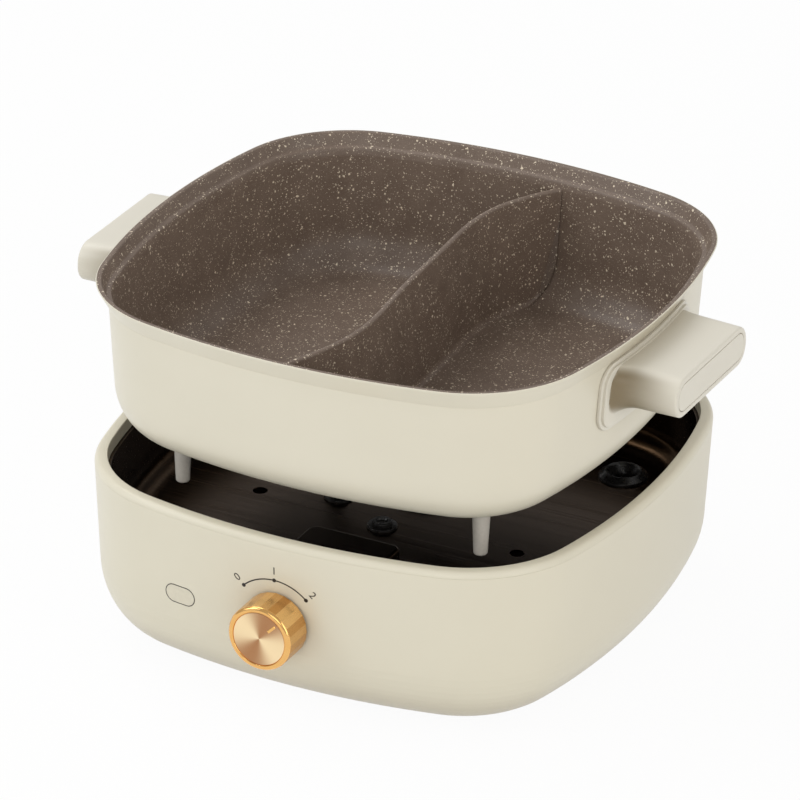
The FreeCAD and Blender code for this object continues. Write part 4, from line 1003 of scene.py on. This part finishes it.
def knob_disc():
    """Spun disc in the knob's front: it sinks very slightly towards its middle."""
    profile = [
        (FACE_R - 0.02 * MM, 0.75 * MM),
        (FACE_R - 0.02 * MM, 0.38 * MM),
        (FACE_R - 0.25 * MM, FACE_DEPTH),
    ]
    for share in (0.9, 0.75, 0.6, 0.45, 0.3, 0.15, 0.02):
        profile.append((FACE_R * share, FACE_DEPTH + FACE_DISH * (1 - share)))
    return skinned("knob_disc", [knob_ring(r, back) for r, back in profile], smooth_angle=24)


def knob_bar():
    """Raised pointer bar with bevelled edges on the knob's disc."""
    c, s = math.cos(POINTER_ANGLE), math.sin(POINTER_ANGLE)
    rings = []
    for inset, back in ((0.0, 0.6), (0.0, 0.22), (0.28, 0.0)):
        ring = []
        half_length, half_width = POINTER_LENGTH / 2 - inset * MM, POINTER_WIDTH / 2 - inset * MM
        for u, v in rounded_box(half_length, half_width, 0.35 * MM):
            along = POINTER_MIDDLE + u
            ring.append((along * c - v * s, KNOB_LOW.y + back * MM, KNOB_Z + along * s + v * c))
        rings.append(ring)
    return skinned("knob_bar", rings)


def make_camera():
    """The photograph's camera, turned and rolled to its view."""
    back = Vector((
        math.sin(AZIMUTH) * math.cos(ELEVATION),
        -math.cos(AZIMUTH) * math.cos(ELEVATION),
        math.sin(ELEVATION),
    ))
    level = Vector((math.cos(AZIMUTH), math.sin(AZIMUTH), 0))
    upright = back.cross(level)
    right = math.cos(ROLL) * level + math.sin(ROLL) * upright
    up = math.cos(ROLL) * upright - math.sin(ROLL) * level
    camera = bpy.data.objects.new("camera", bpy.data.cameras.new("camera"))
    camera.data.lens = LENS
    camera.data.sensor_width = SENSOR_WIDTH
    camera.data.clip_end = CLIP_END
    spin = Matrix((right, up, back)).transposed().to_4x4()
    camera.matrix_world = Matrix.Translation(TARGET + back * DISTANCE) @ spin
    bpy.context.scene.collection.objects.link(camera)
    bpy.context.scene.camera = camera


def softbox(name, place_at, size, watts, colour):
    """A rectangular lamp that faces the object."""
    lamp = bpy.data.lights.new(name, "AREA")
    lamp.shape = "RECTANGLE"
    lamp.size, lamp.size_y = size
    lamp.energy = watts
    lamp.color = colour
    holder = bpy.data.objects.new(name, lamp)
    holder.location = place_at
    aim = Vector(LAMPS_AIM) - Vector(place_at)
    holder.rotation_euler = aim.to_track_quat("-Z", "Y").to_euler()
    bpy.context.scene.collection.objects.link(holder)


def make_room():
    """Pale floor just under the feet, soft boxes and an even sky."""
    corners = [(x * FLOOR_HALF, y * FLOOR_HALF, FLOOR_Z) for x, y in ((-1, -1), (1, -1), (1, 1), (-1, 1))]
    floor = new_object("floor", corners, [(0, 1, 2, 3)])
    shader = Shader("floor_paper")
    tone = shader.noise(3.0, 2.0)
    shader.set(Base_Color=shader.mix(tone, (0.84, 0.84, 0.83, 1), (0.87, 0.87, 0.86, 1)), Roughness=0.8)
    rays = shader.add("ShaderNodeLightPath")
    seen = shader.math("MAXIMUM", rays.outputs["Is Camera Ray"], rays.outputs["Is Glossy Ray"])
    seen = shader.math("MAXIMUM", seen, rays.outputs["Is Transmission Ray"])
    white = shader.add("ShaderNodeEmission", Color=(1, 1, 1, 1), Strength=1.0)
    blend = shader.add("ShaderNodeMixShader")
    shader.feed(blend, "0", shader.math("MULTIPLY", seen, 0.95))
    shader.feed(blend, "1", shader.surface.outputs[0])
    shader.feed(blend, "2", white.outputs[0])
    shader.tree.links.new(blend.outputs[0], shader.tree.nodes["Material Output"].inputs["Surface"])
    paint(floor, shader.material)
    world = bpy.data.worlds.new("studio")
    bpy.context.scene.world = world
    world.use_nodes = True
    sky = world.node_tree.nodes["Background"]
    sky.inputs["Color"].default_value = (1, 1, 1, 1)
    sky.inputs["Strength"].default_value = SKY_STRENGTH
    for lamp in LAMPS:
        softbox(*lamp)
    bpy.context.scene.view_settings.view_transform = "Standard"


make_camera()
make_room()

# Colours in linear RGB, and the finish that each material slot takes
# Painted shade colour that the lacquers darken to in hollows
PAINTED_SHADE = (0.36, 0.29, 0.19, 1)
LACQUER_LIGHT, LACQUER_DARK = (0.770, 0.723, 0.595, 1), (0.750, 0.703, 0.575, 1)
MOULDING_LIGHT, MOULDING_DARK = (0.765, 0.717, 0.582, 1), (0.745, 0.697, 0.562, 1)
HANDLE_LIGHT, HANDLE_DARK = (0.775, 0.735, 0.635, 1), (0.755, 0.715, 0.615, 1)
# Painted shade colour that the handles darken to at their roots and in hollows
HANDLE_PAINTED_SHADE = (0.19, 0.138, 0.066, 1)
STEEL_LIGHT = (0.62, 0.61, 0.60, 1)
CREAM = lacquer("cream_lacquer", LACQUER_LIGHT, LACQUER_DARK, 0.34, PAINTED_SHADE, 0.35)
SHELL_CREAM = lacquer("cream_moulding", MOULDING_LIGHT, MOULDING_DARK, 0.36, PAINTED_SHADE, 0.3)
HANDLE_CREAM = handle_satin_painted_shade("cream_handle", HANDLE_LIGHT, HANDLE_DARK, HANDLE_PAINTED_SHADE, 0.95)
PLATE_CREAM = handle_satin_painted_shade("cream_handle_plate", HANDLE_LIGHT, HANDLE_DARK, HANDLE_PAINTED_SHADE, 0.3)
GRANITE = granite()
# The pan's near-black warm brown is partly its dark steel and partly painted shade of the pot over it and
# painted warm reflection
PAN = brushed("pan_steel", (0.062, 0.037, 0.019, 1), (0.037, 0.021, 0.011, 1), 0.22, (6.0, 500.0, 500.0))
SHEET = brushed("plain_sheet", STEEL_LIGHT, (0.50, 0.49, 0.48, 1), 0.34, (6.0, 700.0, 700.0), 0.3)
STEEL = brushed("steel", STEEL_LIGHT, (0.52, 0.51, 0.50, 1), 0.3, (300.0, 300.0, 40.0), 0.2)
BRASS = brushed("brass", (0.80, 0.58, 0.28, 1), (0.66, 0.46, 0.20, 1), 0.25, (300.0, 300.0, 40.0), 0.2)
BLACK = moulded("black_moulding", (0.016, 0.015, 0.014, 1), 0.30)
DARK = moulded("dark_moulding", (0.035, 0.034, 0.033, 1), 0.45)
RUBBER = moulded("foot_rubber", (0.028, 0.027, 0.026, 1), 0.75)
BOTTOM = moulded("bottom_moulding", (0.66, 0.62, 0.53, 1), 0.5)
PEG = moulded("peg_moulding", (0.80, 0.75, 0.67, 1), 0.42)
WINDOW = moulded("window_moulding", (0.790, 0.735, 0.590, 1), 0.36, 300.0, 0.005 * MM)
GOLD_FACE = spun_metal()
GOLD_SIDE = anodised()
GOLD_EDGE = polished_gold()
INK = printed()

NODE_MATERIALS = {
    "pot_lacquer": CREAM,
    "pot_coating": GRANITE,
    "base_shell": SHELL_CREAM,
    "bottom_plastic": BOTTOM,
    "pan_steel": PAN,
    "heater_plate": SHEET,
    "black_plastic": BLACK,
    "switch_plastic": DARK,
    "gland_plastic": SHELL_CREAM,
    "handle_plastic": HANDLE_CREAM,
    "peg_plastic": PEG,
    "plain_steel": STEEL,
    "contact_brass": BRASS,
    "knob_metal": GOLD_SIDE,
    "knob_mark": GOLD_EDGE,
    "foot_rubber": RUBBER,
    "window_plastic": WINDOW,
}
for part in frame["record"]["subparts"]:
    paint(NODES[part["node"]], NODE_MATERIALS[part["material_slot"]])
paint(NODES["knob_face"], GOLD_FACE)

for piece, body, slot, material, node in (
    (pot_shell(), "pot", "pot_lacquer", CREAM, "pot_body"),
    (pot_coating(), "pot", "pot_coating", GRANITE, "pot_body"),
    (divider(), "pot", "pot_coating", GRANITE, "pot_divider"),
    (casing_shell(), "base", "base_shell", SHELL_CREAM, "base_casing"),
    (rim_trim(), "base", "base_shell", SHELL_CREAM, "rim_ring"),
    (handle_plate("plate_left", -1), "pot", "handle_plastic", PLATE_CREAM, "handle_plate_left"),
    (handle_grip("grip_left", -1), "pot", "handle_plastic", HANDLE_CREAM, "handle_grip_left"),
    (handle_plate("plate_right", 1), "pot", "handle_plastic", PLATE_CREAM, "handle_plate_right"),
    (handle_grip("grip_right", 1), "pot", "handle_plastic", HANDLE_CREAM, "handle_grip_right"),
    (knob_grip(), "knob", "knob_metal", GOLD_SIDE, "control_knob"),
    (knob_bevel(), "knob", "knob_metal", GOLD_EDGE, "control_knob"),
    (knob_disc(), "knob", "knob_metal", GOLD_FACE, "knob_face"),
    (knob_bar(), "knob", "knob_mark", GOLD_EDGE, "knob_pointer"),
):
    place(piece, body, slot, material, node)
dial_marks(INK)
window_marks(INK, WINDOW)
